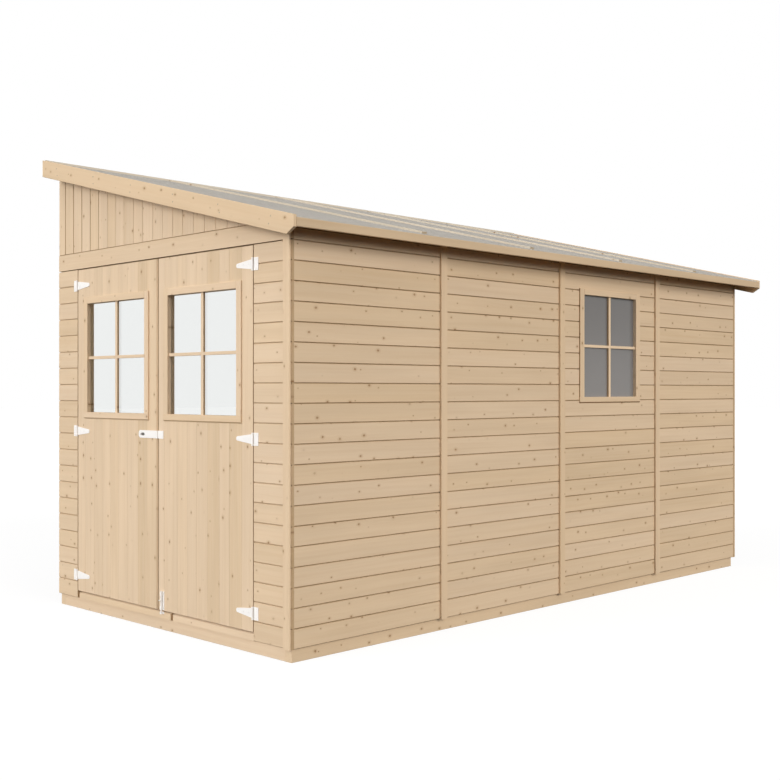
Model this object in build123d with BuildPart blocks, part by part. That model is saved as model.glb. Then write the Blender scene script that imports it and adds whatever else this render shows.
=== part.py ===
from build123d import *
import os
from math import cos, radians, sin, tan

# Lean-to garden shed, open at its high rear side, with double doors in one gable.
# X runs along the low wall, -X is the door gable, -Y is the low side, +Y the open high side.
# The origin is the middle of the outline on the ground. Lengths are millimetres, angles degrees.

# Plan
panel_count = 4
panel_width = 965.0
gable_depth = 1965.0

# Timber sections
board_thickness = 16.0
frame_depth = 45.0
stud_width = 28.0
panel_stud_count = 2
gable_stud_count = 4
purlin_count = 2
purlin_width = 45.0
purlin_depth = 95.0
post_width = 70.0
strip_width = 45.0
strip_thickness = 12.0

# Base and floor
base_height = 60.0
base_rail_width = 45.0
floor_thickness = 16.0
bearer_count = 4

# Door gable header, with its foot this far below the eave
header_drop = 82.0
header_height = 92.0

# Roof, with the eave's height above the base and depths measured square to the slope
roof_pitch = 13.9
eave_height = 1842.0
eave_overhang = 132.0
gable_overhang = 100.0
felt_step = 10.0
felt_thickness = 3.0
deck_thickness = 16.0
barge_depth = 90.0
barge_thickness = 18.0
barge_nose = 51.0
barge_clip = 47.0
fascia_height = 38.0
fascia_thickness = 18.0
roof_batten_count = 4
roof_batten_width = 32.0
roof_batten_height = 14.0

# Doorway: its jambs are measured from the ends of the gable
jamb_from_front = 256.0
jamb_from_rear = 197.0
door_gap = 6.0
head_gap = 8.0
meeting_gap = 10.0
sill_height = 34.0
sill_notch = 20.0
sill_notch_from_meeting = 133.0
threshold_height = 28.0

# Door leaves, with a ledge behind the hinges at the foot, middle and head
brace_thickness = 28.0
ledge_width = 95.0
stile_width = 45.0
brace_margin = 10.0
low_hinge_inset = 84.0
high_hinge_inset = 79.0

# Windows: clear sizes inside the casings, the doors' fitted between their ledges and stiles
door_window_to_ledge = 54.0
door_window_to_stile = 48.0
right_window_shift = 12.0
wall_window_width = 523.0
wall_window_height = 574.0
wall_window_drop = 192.5
wall_window_shift = -11.0
panels_before_window_count = 2
casing_thickness = 7.0
wall_casing_side = 43.0
door_casing_side = 36.0
casing_head = 34.0
liner_thickness = 12.0
liner_depth = 36.0
glass_set_back = 14.0
glass_thickness = 4.0
glass_groove = 5.0
glass_clearance = 0.3

# Fittings: one gauge of plate and one size of countersunk screw
plate_thickness = 2.5
screw_radius = 2.0
screw_head_radius = 3.6

# Tee hinges
pin_from_jamb = 2.0
pin_standoff = 6.0
pin_radius = 2.5
knuckle_radius = 5.0
knuckle_clearance = 0.5
pin_clearance = 0.3
hinge_plate_width = 36.0
hinge_plate_height = 58.0
hinge_screw_from_pin = 23.0
hinge_screw_spacing = 38.0
strap_length = 122.0
strap_root = 44.0
strap_neck = 10.0
strap_tip_radius = 10.0
strap_screw_from_pin = 30.0
strap_screw_spacing = 38.0
strap_screw_count = 3

# Hasp and staple
hasp_width = 38.0
hasp_plate_length = 50.0
hasp_screw_inset = 9.0
hasp_flap_length = 156.0
hasp_knuckle_radius = 4.0
hasp_clearance = 1.5
hasp_pin_from_edge = 1.0
hasp_chamfer = 10.0
hasp_slot_length = 30.0
hasp_slot_width = 14.0
hasp_slot_from_tip = 36.0
staple_plate_length = 42.0
staple_plate_thickness = 2.0
staple_rod_radius = 2.2
staple_rod_spacing = 16.0
staple_reach = 16.0
staple_embed = 1.5

# Drop bolt
bolt_from_edge = 41.0
bolt_plate_width = 30.0
bolt_plate_height = 91.0
bolt_rod_radius = 4.5
bolt_rod_length = 100.0
bolt_rod_clearance = 0.5
bolt_guide_wall = 2.0
bolt_guide_height = 16.0
guide_inset = 4.0
bolt_standoff = 8.0
bolt_screw_inset = 5.0
bolt_tip_gap = 1.0
bolt_knob_radius = 3.0
bolt_knob_reach = 14.0
keeper_height = 9.5
keeper_drop = 0.5

# Lines that the sizes above give
wall_length = panel_count * panel_width
wall_x = wall_length / 2
frame_x = wall_x - board_thickness
inner_x = frame_x - frame_depth
barge_x = wall_x + gable_overhang
roof_x = barge_x - barge_thickness
wall_y = -(gable_depth - eave_overhang) / 2
frame_y = wall_y + board_thickness
inner_y = frame_y + frame_depth
rear_y = wall_y + gable_depth
beam_y = rear_y - frame_depth
eave_y = wall_y - eave_overhang
eave_z = base_height + eave_height
header_z = eave_z - header_drop
roof_top_z = eave_z + (rear_y - eave_y) * tan(radians(roof_pitch)) + 2 * frame_depth
deck_top = felt_step + felt_thickness
deck_underside = deck_top + deck_thickness
jamb_low_y = wall_y + jamb_from_front
jamb_high_y = rear_y - jamb_from_rear
door_y = (jamb_low_y + jamb_high_y) / 2
leaf_width = (jamb_high_y - jamb_low_y - 2 * door_gap - meeting_gap) / 2
sill_top_z = base_height + sill_height
leaf_bottom_z = sill_top_z + door_gap
leaf_top_z = header_z - head_gap
hasp_z = (leaf_bottom_z + leaf_top_z) / 2
hinge_z = (leaf_bottom_z + low_hinge_inset, hasp_z, leaf_top_z - high_hinge_inset)
door_window_width = leaf_width - 2 * (brace_margin + stile_width + door_window_to_stile)
door_window_height = hinge_z[2] - hinge_z[1] - ledge_width - 2 * door_window_to_ledge
door_window_z = (hinge_z[1] + hinge_z[2]) / 2
panel_left_x = [-wall_x + i * panel_width for i in range(panel_count)]
window_panel_x = panel_left_x[panels_before_window_count]
wall_window_x = window_panel_x + panel_width / 2 + wall_window_shift
wall_window_z = eave_z - wall_window_drop - wall_window_height / 2

os.makedirs("parts", exist_ok=True)


def write_piece(builder, name):
    """Label a finished piece and write it under that name."""
    builder.part.label = name
    export_step(builder.part, f"parts/{name}.step")


def roof_height(y, depth=0.0):
    """Height of the plane that lies this depth under the tops of the barge boards."""
    rise = (y - eave_y) * tan(radians(roof_pitch))
    return eave_z + rise - depth / cos(radians(roof_pitch))


def roof_plane(depth):
    """Plane parallel to the roof, this depth under the tops of the barge boards."""
    slope_normal = (0, -sin(radians(roof_pitch)), cos(radians(roof_pitch)))
    return Plane(origin=(0, 0, roof_height(0, depth)), x_dir=(1, 0, 0), z_dir=slope_normal)


def bar(left, right, low, high, mode=Mode.ADD):
    """Rectangle in the current sketch, given by its edges."""
    with Locations(((left + right) / 2, (low + high) / 2)):
        Rectangle(right - left, high - low, mode=mode)


def slope_layer(start_y, end_y, top_depth, bottom_depth):
    """Side view of a layer that follows the roof, with plumb ends."""
    Polygon(
        (start_y, roof_height(start_y, bottom_depth)),
        (end_y, roof_height(end_y, bottom_depth)),
        (end_y, roof_height(end_y, top_depth)),
        (start_y, roof_height(start_y, top_depth)),
        align=None,
    )


def trim_under_deck(depth=deck_underside):
    """Cut the current part off along the underside of the roof deck."""
    split(bisect_by=roof_plane(depth), keep=Keep.BOTTOM)


def between(first, last, count):
    """Even places from first to last, leaving out both ends."""
    return [first + (last - first) * (i + 1) / (count + 1) for i in range(count)]


# Base frame: a rail all round, with bearers along the length under the floor boards
with BuildPart() as base_frame:
    with BuildSketch(Plane.XY):
        bar(-frame_x, frame_x, frame_y, rear_y)
        bar(-inner_x, inner_x, inner_y, beam_y, mode=Mode.SUBTRACT)
    extrude(amount=base_height)
    with BuildSketch(Plane.XY):
        for y in between(inner_y, beam_y, bearer_count):
            bar(-inner_x, inner_x, y - base_rail_width / 2, y + base_rail_width / 2)
    extrude(amount=base_height - floor_thickness)
write_piece(base_frame, "base_frame")

with BuildPart() as floor_boards:
    with BuildSketch(Plane.XY.offset(base_height - floor_thickness)):
        bar(-inner_x, inner_x, inner_y, beam_y)
    extrude(amount=floor_thickness)
write_piece(floor_boards, "floor_boards")


# Long low wall: clad panels between the gable boards, on one line of studs
front_cladding_plane = Plane.XZ.offset(-frame_y)
window_hole_width = wall_window_width + 2 * liner_thickness
window_hole_height = wall_window_height + 2 * liner_thickness
window_hole = (
    wall_window_x - window_hole_width / 2,
    wall_window_x + window_hole_width / 2,
    wall_window_z - window_hole_height / 2,
    wall_window_z + window_hole_height / 2,
)


def panel_span(left_x):
    """Ends of a panel's boards and frame, which stop at the gable boards."""
    return max(left_x, -frame_x), min(left_x + panel_width, frame_x)


for number, left_x in enumerate(panel_left_x, start=1):
    start_x, end_x = panel_span(left_x)
    with BuildPart() as front_panel:
        with BuildSketch(front_cladding_plane):
            bar(start_x, end_x, base_height, roof_top_z)
            if left_x == window_panel_x:
                bar(*window_hole, mode=Mode.SUBTRACT)
        extrude(amount=board_thickness)
        trim_under_deck()
    write_piece(front_panel, f"front_panel_{number}")

# Each panel's studs stand on a foot rail under a sloping top rail, with trimmers at the window
plain_panels = [left_x for left_x in panel_left_x if left_x != window_panel_x]
for name, panels in (("front_frames", plain_panels), ("window_frame", [window_panel_x])):
    with BuildPart() as timbers:
        for left_x in panels:
            start_x, end_x = panel_span(left_x)
            inner_studs = between(start_x, end_x, panel_stud_count)
            if left_x == window_panel_x:
                inner_studs = (window_hole[0] - stud_width / 2, window_hole[1] + stud_width / 2)
            with BuildSketch(Plane.XZ.offset(-inner_y)):
                bar(start_x, end_x, base_height, base_height + stud_width)
                for x in (start_x + stud_width / 2, *inner_studs, end_x - stud_width / 2):
                    bar(x - stud_width / 2, x + stud_width / 2, base_height, roof_top_z)
                if left_x == window_panel_x:
                    bar(window_hole[0], window_hole[1], window_hole[2] - stud_width, window_hole[2])
                    bar(window_hole[0], window_hole[1], window_hole[3], window_hole[3] + stud_width)
            extrude(amount=frame_depth)
            with BuildSketch(Plane.YZ.offset(start_x)):
                slope_layer(frame_y, inner_y, -frame_depth, deck_underside + frame_depth)
            extrude(amount=end_x - start_x)
        trim_under_deck()
    write_piece(timbers, name)

# Cover strips over the panel joints, and the trims at the two front corners
with BuildPart() as cover_strips:
    with BuildSketch(Plane.XZ.offset(-wall_y)):
        for x in panel_left_x[1:]:
            bar(x - strip_width / 2, x + strip_width / 2, base_height, roof_top_z)
    extrude(amount=strip_thickness)
    for x in (-wall_x - strip_thickness, wall_x):
        with BuildSketch(Plane.YZ.offset(x)):
            bar(wall_y, wall_y + strip_width, base_height, roof_top_z)
        extrude(amount=strip_thickness)
    trim_under_deck()
write_piece(cover_strips, "cover_strips")


# Door gable: boards beside the doorway, header board, and vertical boards up to the roof
door_cladding_plane = Plane.YZ.offset(-wall_x)
with BuildPart() as door_gable_front_boards:
    with BuildSketch(door_cladding_plane):
        bar(wall_y, jamb_low_y, base_height, header_z)
    extrude(amount=board_thickness)
write_piece(door_gable_front_boards, "door_gable_front_boards")

with BuildPart() as door_gable_rear_boards:
    with BuildSketch(door_cladding_plane):
        bar(jamb_high_y, rear_y, base_height, header_z)
    extrude(amount=board_thickness)
write_piece(door_gable_rear_boards, "door_gable_rear_boards")

with BuildPart() as door_header:
    with BuildSketch(door_cladding_plane):
        bar(wall_y, rear_y, header_z, header_z + header_height)
    extrude(amount=board_thickness)
    trim_under_deck()
write_piece(door_header, "door_header")

with BuildPart() as door_gable_top_boards:
    with BuildSketch(door_cladding_plane):
        bar(wall_y, rear_y, header_z + header_height, roof_top_z)
    extrude(amount=board_thickness)
    trim_under_deck()
write_piece(door_gable_top_boards, "door_gable_top_boards")

# The sill under the doors is two boards, with a notch between them and another at the rear jamb
with BuildPart() as door_sill:
    with BuildSketch(door_cladding_plane):
        notch_low_y = door_y - sill_notch_from_meeting
        bar(jamb_low_y, notch_low_y, base_height, sill_top_z)
        bar(notch_low_y + sill_notch, jamb_high_y - sill_notch, base_height, sill_top_z)
    extrude(amount=board_thickness)
write_piece(door_sill, "door_sill")

# Door gable frame: posts beside the doorway, a rail under the sill, and the triangle above
with BuildPart() as door_frame_front:
    with BuildSketch(Plane.YZ.offset(-frame_x)):
        bar(inner_y, inner_y + stud_width, base_height, header_z)
        bar(jamb_low_y - stud_width, jamb_low_y, base_height, header_z)
        bar(inner_y, jamb_low_y, base_height, base_height + stud_width)
        bar(inner_y, jamb_low_y, header_z - stud_width, header_z)
    extrude(amount=frame_depth)
write_piece(door_frame_front, "door_frame_front")

with BuildPart() as door_frame_rear:
    with BuildSketch(Plane.YZ.offset(-frame_x)):
        bar(jamb_high_y, jamb_high_y + stud_width, base_height, header_z)
        bar(rear_y - stud_width, rear_y, base_height, header_z)
        bar(jamb_high_y, rear_y, base_height, base_height + stud_width)
        bar(jamb_high_y, rear_y, header_z - stud_width, header_z)
    extrude(amount=frame_depth)
write_piece(door_frame_rear, "door_frame_rear")

with BuildPart() as door_threshold:
    with BuildSketch(Plane.YZ.offset(-frame_x)):
        bar(jamb_low_y, jamb_high_y, base_height, base_height + threshold_height)
    extrude(amount=frame_depth)
write_piece(door_threshold, "door_threshold")

gable_stud_ends = (inner_y + stud_width / 2, rear_y - stud_width / 2)
gable_stud_y = (gable_stud_ends[0], *between(*gable_stud_ends, gable_stud_count), gable_stud_ends[1])
with BuildPart() as door_frame_top:
    with BuildSketch(Plane.YZ.offset(-frame_x)):
        bar(inner_y, rear_y, header_z, header_z + frame_depth)
        for y in gable_stud_y:
            bar(y - stud_width / 2, y + stud_width / 2, header_z, roof_top_z)
        slope_layer(inner_y, rear_y, -frame_depth, deck_underside + frame_depth)
    extrude(amount=frame_depth)
    trim_under_deck()
write_piece(door_frame_top, "door_frame_top")

# Far gable: boards without a doorway on their own frame
with BuildPart() as far_gable_boards:
    with BuildSketch(Plane.YZ.offset(frame_x)):
        bar(wall_y, rear_y, base_height, roof_top_z)
    extrude(amount=board_thickness)
    trim_under_deck()
write_piece(far_gable_boards, "far_gable_boards")

with BuildPart() as far_gable_frame:
    with BuildSketch(Plane.YZ.offset(inner_x)):
        bar(inner_y, rear_y, base_height, base_height + stud_width)
        bar(inner_y, rear_y, header_z, header_z + frame_depth)
        for y in gable_stud_y:
            bar(y - stud_width / 2, y + stud_width / 2, base_height, roof_top_z)
        slope_layer(inner_y, rear_y, -frame_depth, deck_underside + frame_depth)
    extrude(amount=frame_depth)
    trim_under_deck()
write_piece(far_gable_frame, "far_gable_frame")


# Open rear side: a wall beam between the gables, on a post at its middle
beam_bottom_z = roof_height(beam_y, deck_underside) - purlin_depth
with BuildPart() as rear_beam:
    with BuildSketch(Plane.YZ.offset(-inner_x)):
        bar(beam_y, rear_y, beam_bottom_z, roof_top_z)
    extrude(amount=2 * inner_x)
    trim_under_deck()
write_piece(rear_beam, "rear_beam")

with BuildPart() as rear_post:
    with BuildSketch(Plane.XY.offset(base_height)):
        bar(-post_width / 2, post_width / 2, beam_y, rear_y)
    extrude(amount=beam_bottom_z - base_height)
write_piece(rear_post, "rear_post")

# Roof timbers: a rafter over the post, and two rows of purlins between it and the gables
with BuildPart() as centre_rafter:
    with BuildSketch(Plane.YZ.offset(-purlin_width / 2)):
        slope_layer(inner_y, beam_y, deck_underside, deck_underside + purlin_depth)
    extrude(amount=purlin_width)
write_piece(centre_rafter, "centre_rafter")

with BuildPart() as purlins:
    for y in between(inner_y, beam_y, purlin_count):
        for left_x, right_x in ((-inner_x, -purlin_width / 2), (purlin_width / 2, inner_x)):
            purlin_bottom_z = roof_height(y, deck_underside + purlin_depth)
            with BuildSketch(Plane.YZ.offset(left_x)):
                bar(y - purlin_width / 2, y + purlin_width / 2, purlin_bottom_z, roof_top_z)
            extrude(amount=right_x - left_x)
    trim_under_deck()
write_piece(purlins, "purlins")

# Roof skin: deck, felt, and the battens that hold it down, joined to one along the high edge
with BuildPart() as roof_deck:
    with BuildSketch(Plane.YZ.offset(-roof_x)):
        slope_layer(eave_y + fascia_thickness, rear_y, deck_top, deck_underside)
    extrude(amount=2 * roof_x)
write_piece(roof_deck, "roof_deck")

with BuildPart() as roof_felt:
    with BuildSketch(Plane.YZ.offset(-roof_x)):
        slope_layer(eave_y + fascia_thickness, rear_y, felt_step, deck_top)
    extrude(amount=2 * roof_x)
write_piece(roof_felt, "roof_felt")

batten_top = felt_step - roof_batten_height
with BuildPart() as roof_battens:
    for batten_x in between(-barge_x, barge_x, roof_batten_count):
        with BuildSketch(Plane.YZ.offset(batten_x - roof_batten_width / 2)):
            slope_layer(eave_y + fascia_thickness, rear_y, batten_top, felt_step)
        extrude(amount=roof_batten_width)
    with BuildSketch(Plane.YZ.offset(-roof_x)):
        slope_layer(rear_y - roof_batten_width, rear_y, batten_top, felt_step)
    extrude(amount=2 * roof_x)
write_piece(roof_battens, "roof_battens")

# Barge boards: plumb at the rear, a plumb nose and a clipped corner at the eave
with BuildPart() as barge_boards:
    for x in (-barge_x, roof_x):
        with BuildSketch(Plane.YZ.offset(x)):
            with BuildLine():
                Polyline(
                    (eave_y, roof_height(eave_y)),
                    (eave_y, roof_height(eave_y) - barge_nose),
                    (eave_y + barge_clip, roof_height(eave_y + barge_clip) - barge_depth),
                    (rear_y, roof_height(rear_y) - barge_depth),
                    (rear_y, roof_height(rear_y)),
                    close=True,
                )
            make_face()
        extrude(amount=barge_thickness)
write_piece(barge_boards, "barge_boards")

with BuildPart() as eave_fascia:
    with BuildSketch(Plane.YZ.offset(-roof_x)):
        fascia_top_z = roof_height(eave_y, felt_step)
        bar(eave_y, eave_y + fascia_thickness, fascia_top_z - fascia_height, roof_top_z)
    extrude(amount=2 * roof_x)
    trim_under_deck(felt_step)
write_piece(eave_fascia, "eave_fascia")


# Windows: a raised casing with a liner through the boards, and the pane in its groove
def window_face(x, y, z, right_dir, out_dir):
    """Plane on the outer face of the boards, at the middle of a window."""
    return Plane(origin=(x, y, z), x_dir=right_dir, z_dir=out_dir)


def write_casing(face, width, height, side, name):
    """Casing, this wide at its sides, and liner around a clear opening."""
    with BuildPart() as casing:
        with BuildSketch(face):
            Rectangle(width + 2 * side, height + 2 * casing_head)
            Rectangle(width, height, mode=Mode.SUBTRACT)
        extrude(amount=casing_thickness)
        with BuildSketch(face):
            Rectangle(width + 2 * liner_thickness, height + 2 * liner_thickness)
            Rectangle(width, height, mode=Mode.SUBTRACT)
        extrude(amount=-liner_depth)
        with BuildSketch(face.offset(-glass_set_back)):
            Rectangle(width + 2 * glass_groove, height + 2 * glass_groove)
        extrude(amount=-glass_thickness, mode=Mode.SUBTRACT)
    write_piece(casing, name)


def write_pane(face, width, height, name):
    """Sheet of glass held in the liner's groove."""
    edge = 2 * (glass_groove - glass_clearance)
    with BuildPart() as pane:
        with BuildSketch(face.offset(-glass_set_back)):
            Rectangle(width + edge, height + edge)
        extrude(amount=-glass_thickness)
    write_piece(pane, name)


wall_window_face = window_face(wall_window_x, wall_y, wall_window_z, (1, 0, 0), (0, -1, 0))
window_size = (wall_window_width, wall_window_height)
write_casing(wall_window_face, *window_size, wall_casing_side, "wall_window_casing")
write_pane(wall_window_face, *window_size, "wall_window_glass")


# Door leaves: side is -1 for the right leaf, beside the low corner, and 1 for the left leaf
def leaf_middle_y(side):
    """Middle of a leaf's width."""
    return door_y + side * (meeting_gap + leaf_width) / 2


def write_leaf(side, name):
    """Boards of a leaf with the window cut through, and the timbers that brace them."""
    middle_y = leaf_middle_y(side)
    window_y = middle_y + (right_window_shift if side < 0 else 0)
    hole_half_width = door_window_width / 2 + liner_thickness
    hole_half_height = door_window_height / 2 + liner_thickness
    hole = (
        window_y - hole_half_width,
        window_y + hole_half_width,
        door_window_z - hole_half_height,
        door_window_z + hole_half_height,
    )
    with BuildPart() as leaf:
        with BuildSketch(door_cladding_plane):
            bar(middle_y - leaf_width / 2, middle_y + leaf_width / 2, leaf_bottom_z, leaf_top_z)
            bar(*hole, mode=Mode.SUBTRACT)
        extrude(amount=board_thickness)
    write_piece(leaf, name)

    low_ledge_z, middle_ledge_z, high_ledge_z = hinge_z
    outer = leaf_width / 2 - brace_margin
    inner = outer - stile_width
    with BuildPart() as bracing:
        with BuildSketch(Plane.YZ.offset(-frame_x)):
            for edge in (-(outer + inner) / 2, (outer + inner) / 2):
                bar(
                    middle_y + edge - stile_width / 2,
                    middle_y + edge + stile_width / 2,
                    low_ledge_z - ledge_width / 2,
                    high_ledge_z + ledge_width / 2,
                )
            for z in hinge_z:
                bar(middle_y - outer, middle_y + outer, z - ledge_width / 2, z + ledge_width / 2)
            with BuildLine():
                foot_y = middle_y + side * inner
                head_y = middle_y - side * inner
                foot_z = low_ledge_z + ledge_width / 2
                head_z = middle_ledge_z - ledge_width / 2
                Polyline(
                    (foot_y, foot_z),
                    (foot_y - side * stile_width, foot_z),
                    (head_y, head_z - stile_width),
                    (head_y, head_z),
                    (head_y + side * stile_width, head_z),
                    (foot_y, foot_z + stile_width),
                    close=True,
                )
            make_face()
        extrude(amount=brace_thickness)
    write_piece(bracing, f"{name}_bracing")

    face = window_face(-wall_x, window_y, door_window_z, (0, -1, 0), (-1, 0, 0))
    write_casing(face, door_window_width, door_window_height, door_casing_side, f"{name}_casing")
    write_pane(face, door_window_width, door_window_height, f"{name}_glass")


# Tee hinges: the plate carries the outer knuckles and the pin, the strap the middle knuckle
pin_x = -wall_x - pin_standoff


def pin_y(side):
    """Line of the hinge pins beside one jamb."""
    return door_y + side * ((jamb_high_y - jamb_low_y) / 2 - pin_from_jamb)


def hinge_face(side, z):
    """Plane on the wall's face at a pin, with its first axis towards the leaf."""
    return Plane(origin=(-wall_x, pin_y(side), z), x_dir=(0, -side, 0), z_dir=(-1, 0, 0))


def knuckle(x, y, low_z, high_z, radius, mode=Mode.ADD):
    """Upright round length about a pin."""
    with Locations((x, y, low_z)):
        Cylinder(radius, high_z - low_z, align=(Align.CENTER, Align.CENTER, Align.MIN), mode=mode)


def screw_holes(face, spots):
    """Countersunk holes through a plate on this plane."""
    with Locations(face.offset(plate_thickness).location):
        with Locations(*spots):
            CounterSinkHole(screw_radius, screw_head_radius, plate_thickness)


with BuildPart() as hinge_plates:
    notch_half = strap_root / 2 + knuckle_clearance
    notch_depth = knuckle_radius + 2 * knuckle_clearance
    for side in (-1, 1):
        for z in hinge_z:
            with BuildSketch(hinge_face(side, z)):
                bar(-hinge_plate_width, 0, -hinge_plate_height / 2, hinge_plate_height / 2)
                bar(-notch_depth, 0, -notch_half, notch_half, mode=Mode.SUBTRACT)
            extrude(amount=plate_thickness)
            rows = (-hinge_screw_spacing / 2, hinge_screw_spacing / 2)
            screw_holes(hinge_face(side, z), [(-hinge_screw_from_pin, row) for row in rows])
            knuckle(pin_x, pin_y(side), z - hinge_plate_height / 2, z - notch_half, knuckle_radius)
            knuckle(pin_x, pin_y(side), z + notch_half, z + hinge_plate_height / 2, knuckle_radius)
            knuckle(pin_x, pin_y(side), z - hinge_plate_height / 2, z + hinge_plate_height / 2, pin_radius)
write_piece(hinge_plates, "hinge_plates")


def write_straps(side, name):
    """Three tapered straps with round tips on one leaf."""
    with BuildPart() as straps:
        for z in hinge_z:
            with BuildSketch(hinge_face(side, z)):
                bar(0, strap_neck, -strap_root / 2, strap_root / 2)
                with Locations((strap_length - strap_tip_radius, 0)):
                    Circle(strap_tip_radius)
                make_hull()
            extrude(amount=plate_thickness)
            screws = [strap_screw_from_pin + i * strap_screw_spacing for i in range(strap_screw_count)]
            screw_holes(hinge_face(side, z), [(along, 0) for along in screws])
            knuckle(pin_x, pin_y(side), z - strap_root / 2, z + strap_root / 2, knuckle_radius)
            bore_radius = pin_radius + pin_clearance
            knuckle(pin_x, pin_y(side), z - strap_root / 2, z + strap_root / 2, bore_radius, Mode.SUBTRACT)
    write_piece(straps, name)


for side, name in ((-1, "right_door"), (1, "left_door")):
    write_leaf(side, name)
    write_straps(side, f"{name}_straps")


# Hasp: its short plate and knuckle are on the right leaf, its flap lies over the left leaf
hasp_edge_y = door_y - meeting_gap / 2
hasp_pin_y = hasp_edge_y + hasp_pin_from_edge
hasp_face = Plane(origin=(-wall_x, hasp_pin_y, hasp_z), x_dir=(0, 1, 0), z_dir=(-1, 0, 0))
hasp_pin_x = -wall_x - hasp_knuckle_radius - hasp_clearance / 2
with BuildPart() as hasp_plate:
    with BuildSketch(hasp_face):
        bar(-hasp_plate_length, 0, -hasp_width / 2, hasp_width / 2)
    extrude(amount=plate_thickness)
    screw_columns = (hasp_screw_inset - hasp_plate_length, -hasp_screw_inset - hasp_knuckle_radius)
    screw_rows = (hasp_screw_inset - hasp_width / 2, hasp_width / 2 - hasp_screw_inset)
    screw_holes(hasp_face, [(column, row) for column in screw_columns for row in screw_rows])
    knuckle(hasp_pin_x, hasp_pin_y, hasp_z - hasp_width / 2, hasp_z + hasp_width / 2, hasp_knuckle_radius)
write_piece(hasp_plate, "hasp_plate")

flap_start = hasp_knuckle_radius + hasp_clearance
flap_tip = flap_start + hasp_flap_length
slot_middle = flap_tip - hasp_slot_from_tip
with BuildPart() as hasp_flap:
    with BuildSketch(hasp_face.offset(staple_plate_thickness)):
        with BuildLine():
            half = hasp_width / 2
            Polyline(
                (flap_start, -half),
                (flap_tip - hasp_chamfer, -half),
                (flap_tip, -half + hasp_chamfer),
                (flap_tip, half - hasp_chamfer),
                (flap_tip - hasp_chamfer, half),
                (flap_start, half),
                close=True,
            )
        make_face()
        with Locations((slot_middle, 0)):
            SlotOverall(hasp_slot_length, hasp_slot_width, mode=Mode.SUBTRACT)
    extrude(amount=plate_thickness)
write_piece(hasp_flap, "hasp_flap")

staple_plane = Plane(origin=(-wall_x, hasp_pin_y, hasp_z), x_dir=(0, 1, 0), z_dir=(0, 0, 1))
staple_root = staple_plate_thickness - staple_embed
with BuildPart() as hasp_staple:
    with BuildSketch(hasp_face):
        with Locations((slot_middle, 0)):
            Rectangle(staple_plate_length, hasp_width)
    extrude(amount=staple_plate_thickness)
    with BuildLine(staple_plane):
        leg_near = slot_middle - staple_rod_spacing / 2
        leg_far = slot_middle + staple_rod_spacing / 2
        bow_start = staple_reach - staple_rod_spacing / 2
        near_leg = Line((leg_near, staple_root), (leg_near, bow_start))
        bow = ThreePointArc((leg_near, bow_start), (slot_middle, staple_reach), (leg_far, bow_start))
        far_leg = Line((leg_far, bow_start), (leg_far, staple_root))
    with BuildSketch(Plane(origin=near_leg @ 0, z_dir=near_leg % 0)):
        Circle(staple_rod_radius)
    sweep()
write_piece(hasp_staple, "hasp_staple")


# Drop bolt: a plate with two guides on the right leaf, the sliding rod, and a keeper on the sill
bolt_y = door_y - meeting_gap / 2 - bolt_from_edge
bolt_x = -wall_x - bolt_standoff
bolt_plane = Plane.YZ.offset(-wall_x - plate_thickness)
rod_bottom_z = sill_top_z + bolt_tip_gap
guide_radius = bolt_rod_radius + bolt_rod_clearance + bolt_guide_wall


def guide_outline():
    """Loop on a plate, round in front and square behind, open for the rod."""
    with Locations((bolt_x, bolt_y)):
        Circle(guide_radius)
    with Locations((bolt_x + bolt_standoff / 2, bolt_y)):
        Rectangle(bolt_standoff, 2 * guide_radius)
    with Locations((bolt_x, bolt_y)):
        Circle(bolt_rod_radius + bolt_rod_clearance, mode=Mode.SUBTRACT)


bolt_plate_sides = (bolt_y - bolt_plate_width / 2, bolt_y + bolt_plate_width / 2)
case_low_z = leaf_bottom_z + plate_thickness
case_high_z = case_low_z + bolt_plate_height
with BuildPart() as drop_bolt_case:
    with BuildSketch(bolt_plane):
        bar(*bolt_plate_sides, case_low_z, case_high_z)
    extrude(amount=plate_thickness)
    first_guide_top = case_low_z + guide_inset + bolt_guide_height
    last_guide_foot = case_high_z - guide_inset - bolt_guide_height
    case_face = Plane(origin=(-wall_x, bolt_y, 0), x_dir=(0, -1, 0), z_dir=(-1, 0, 0))
    screw_z = (first_guide_top + bolt_screw_inset, last_guide_foot - bolt_screw_inset)
    screw_y = bolt_plate_width / 2 - bolt_screw_inset
    screw_holes(case_face, [(across, z) for across in (-screw_y, screw_y) for z in screw_z])
    for guide_z in (case_low_z + guide_inset, case_high_z - guide_inset - bolt_guide_height):
        with BuildSketch(Plane.XY.offset(guide_z)):
            guide_outline()
        extrude(amount=bolt_guide_height)
write_piece(drop_bolt_case, "drop_bolt_case")

with BuildPart() as drop_bolt_rod:
    knuckle(bolt_x, bolt_y, rod_bottom_z, rod_bottom_z + bolt_rod_length, bolt_rod_radius)
    with BuildSketch(Plane.YZ.offset(bolt_x)):
        with Locations((bolt_y, (case_low_z + case_high_z) / 2 + bolt_knob_radius)):
            Circle(bolt_knob_radius)
    extrude(amount=-bolt_knob_reach)
write_piece(drop_bolt_rod, "drop_bolt_rod")

keeper_top_z = sill_top_z - keeper_drop
with BuildPart() as bolt_keeper:
    with BuildSketch(bolt_plane):
        bar(*bolt_plate_sides, keeper_top_z - keeper_height, keeper_top_z)
    extrude(amount=plate_thickness)
    with BuildSketch(Plane.XY.offset(keeper_top_z - keeper_height)):
        guide_outline()
    extrude(amount=keeper_height)
write_piece(bolt_keeper, "bolt_keeper")
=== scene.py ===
"""Lean-to garden shed: boards, timbers, felt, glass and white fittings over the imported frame."""

import math
import random
from functools import partialmethod

import bmesh
import bpy
from mathutils import Matrix, Vector


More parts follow.
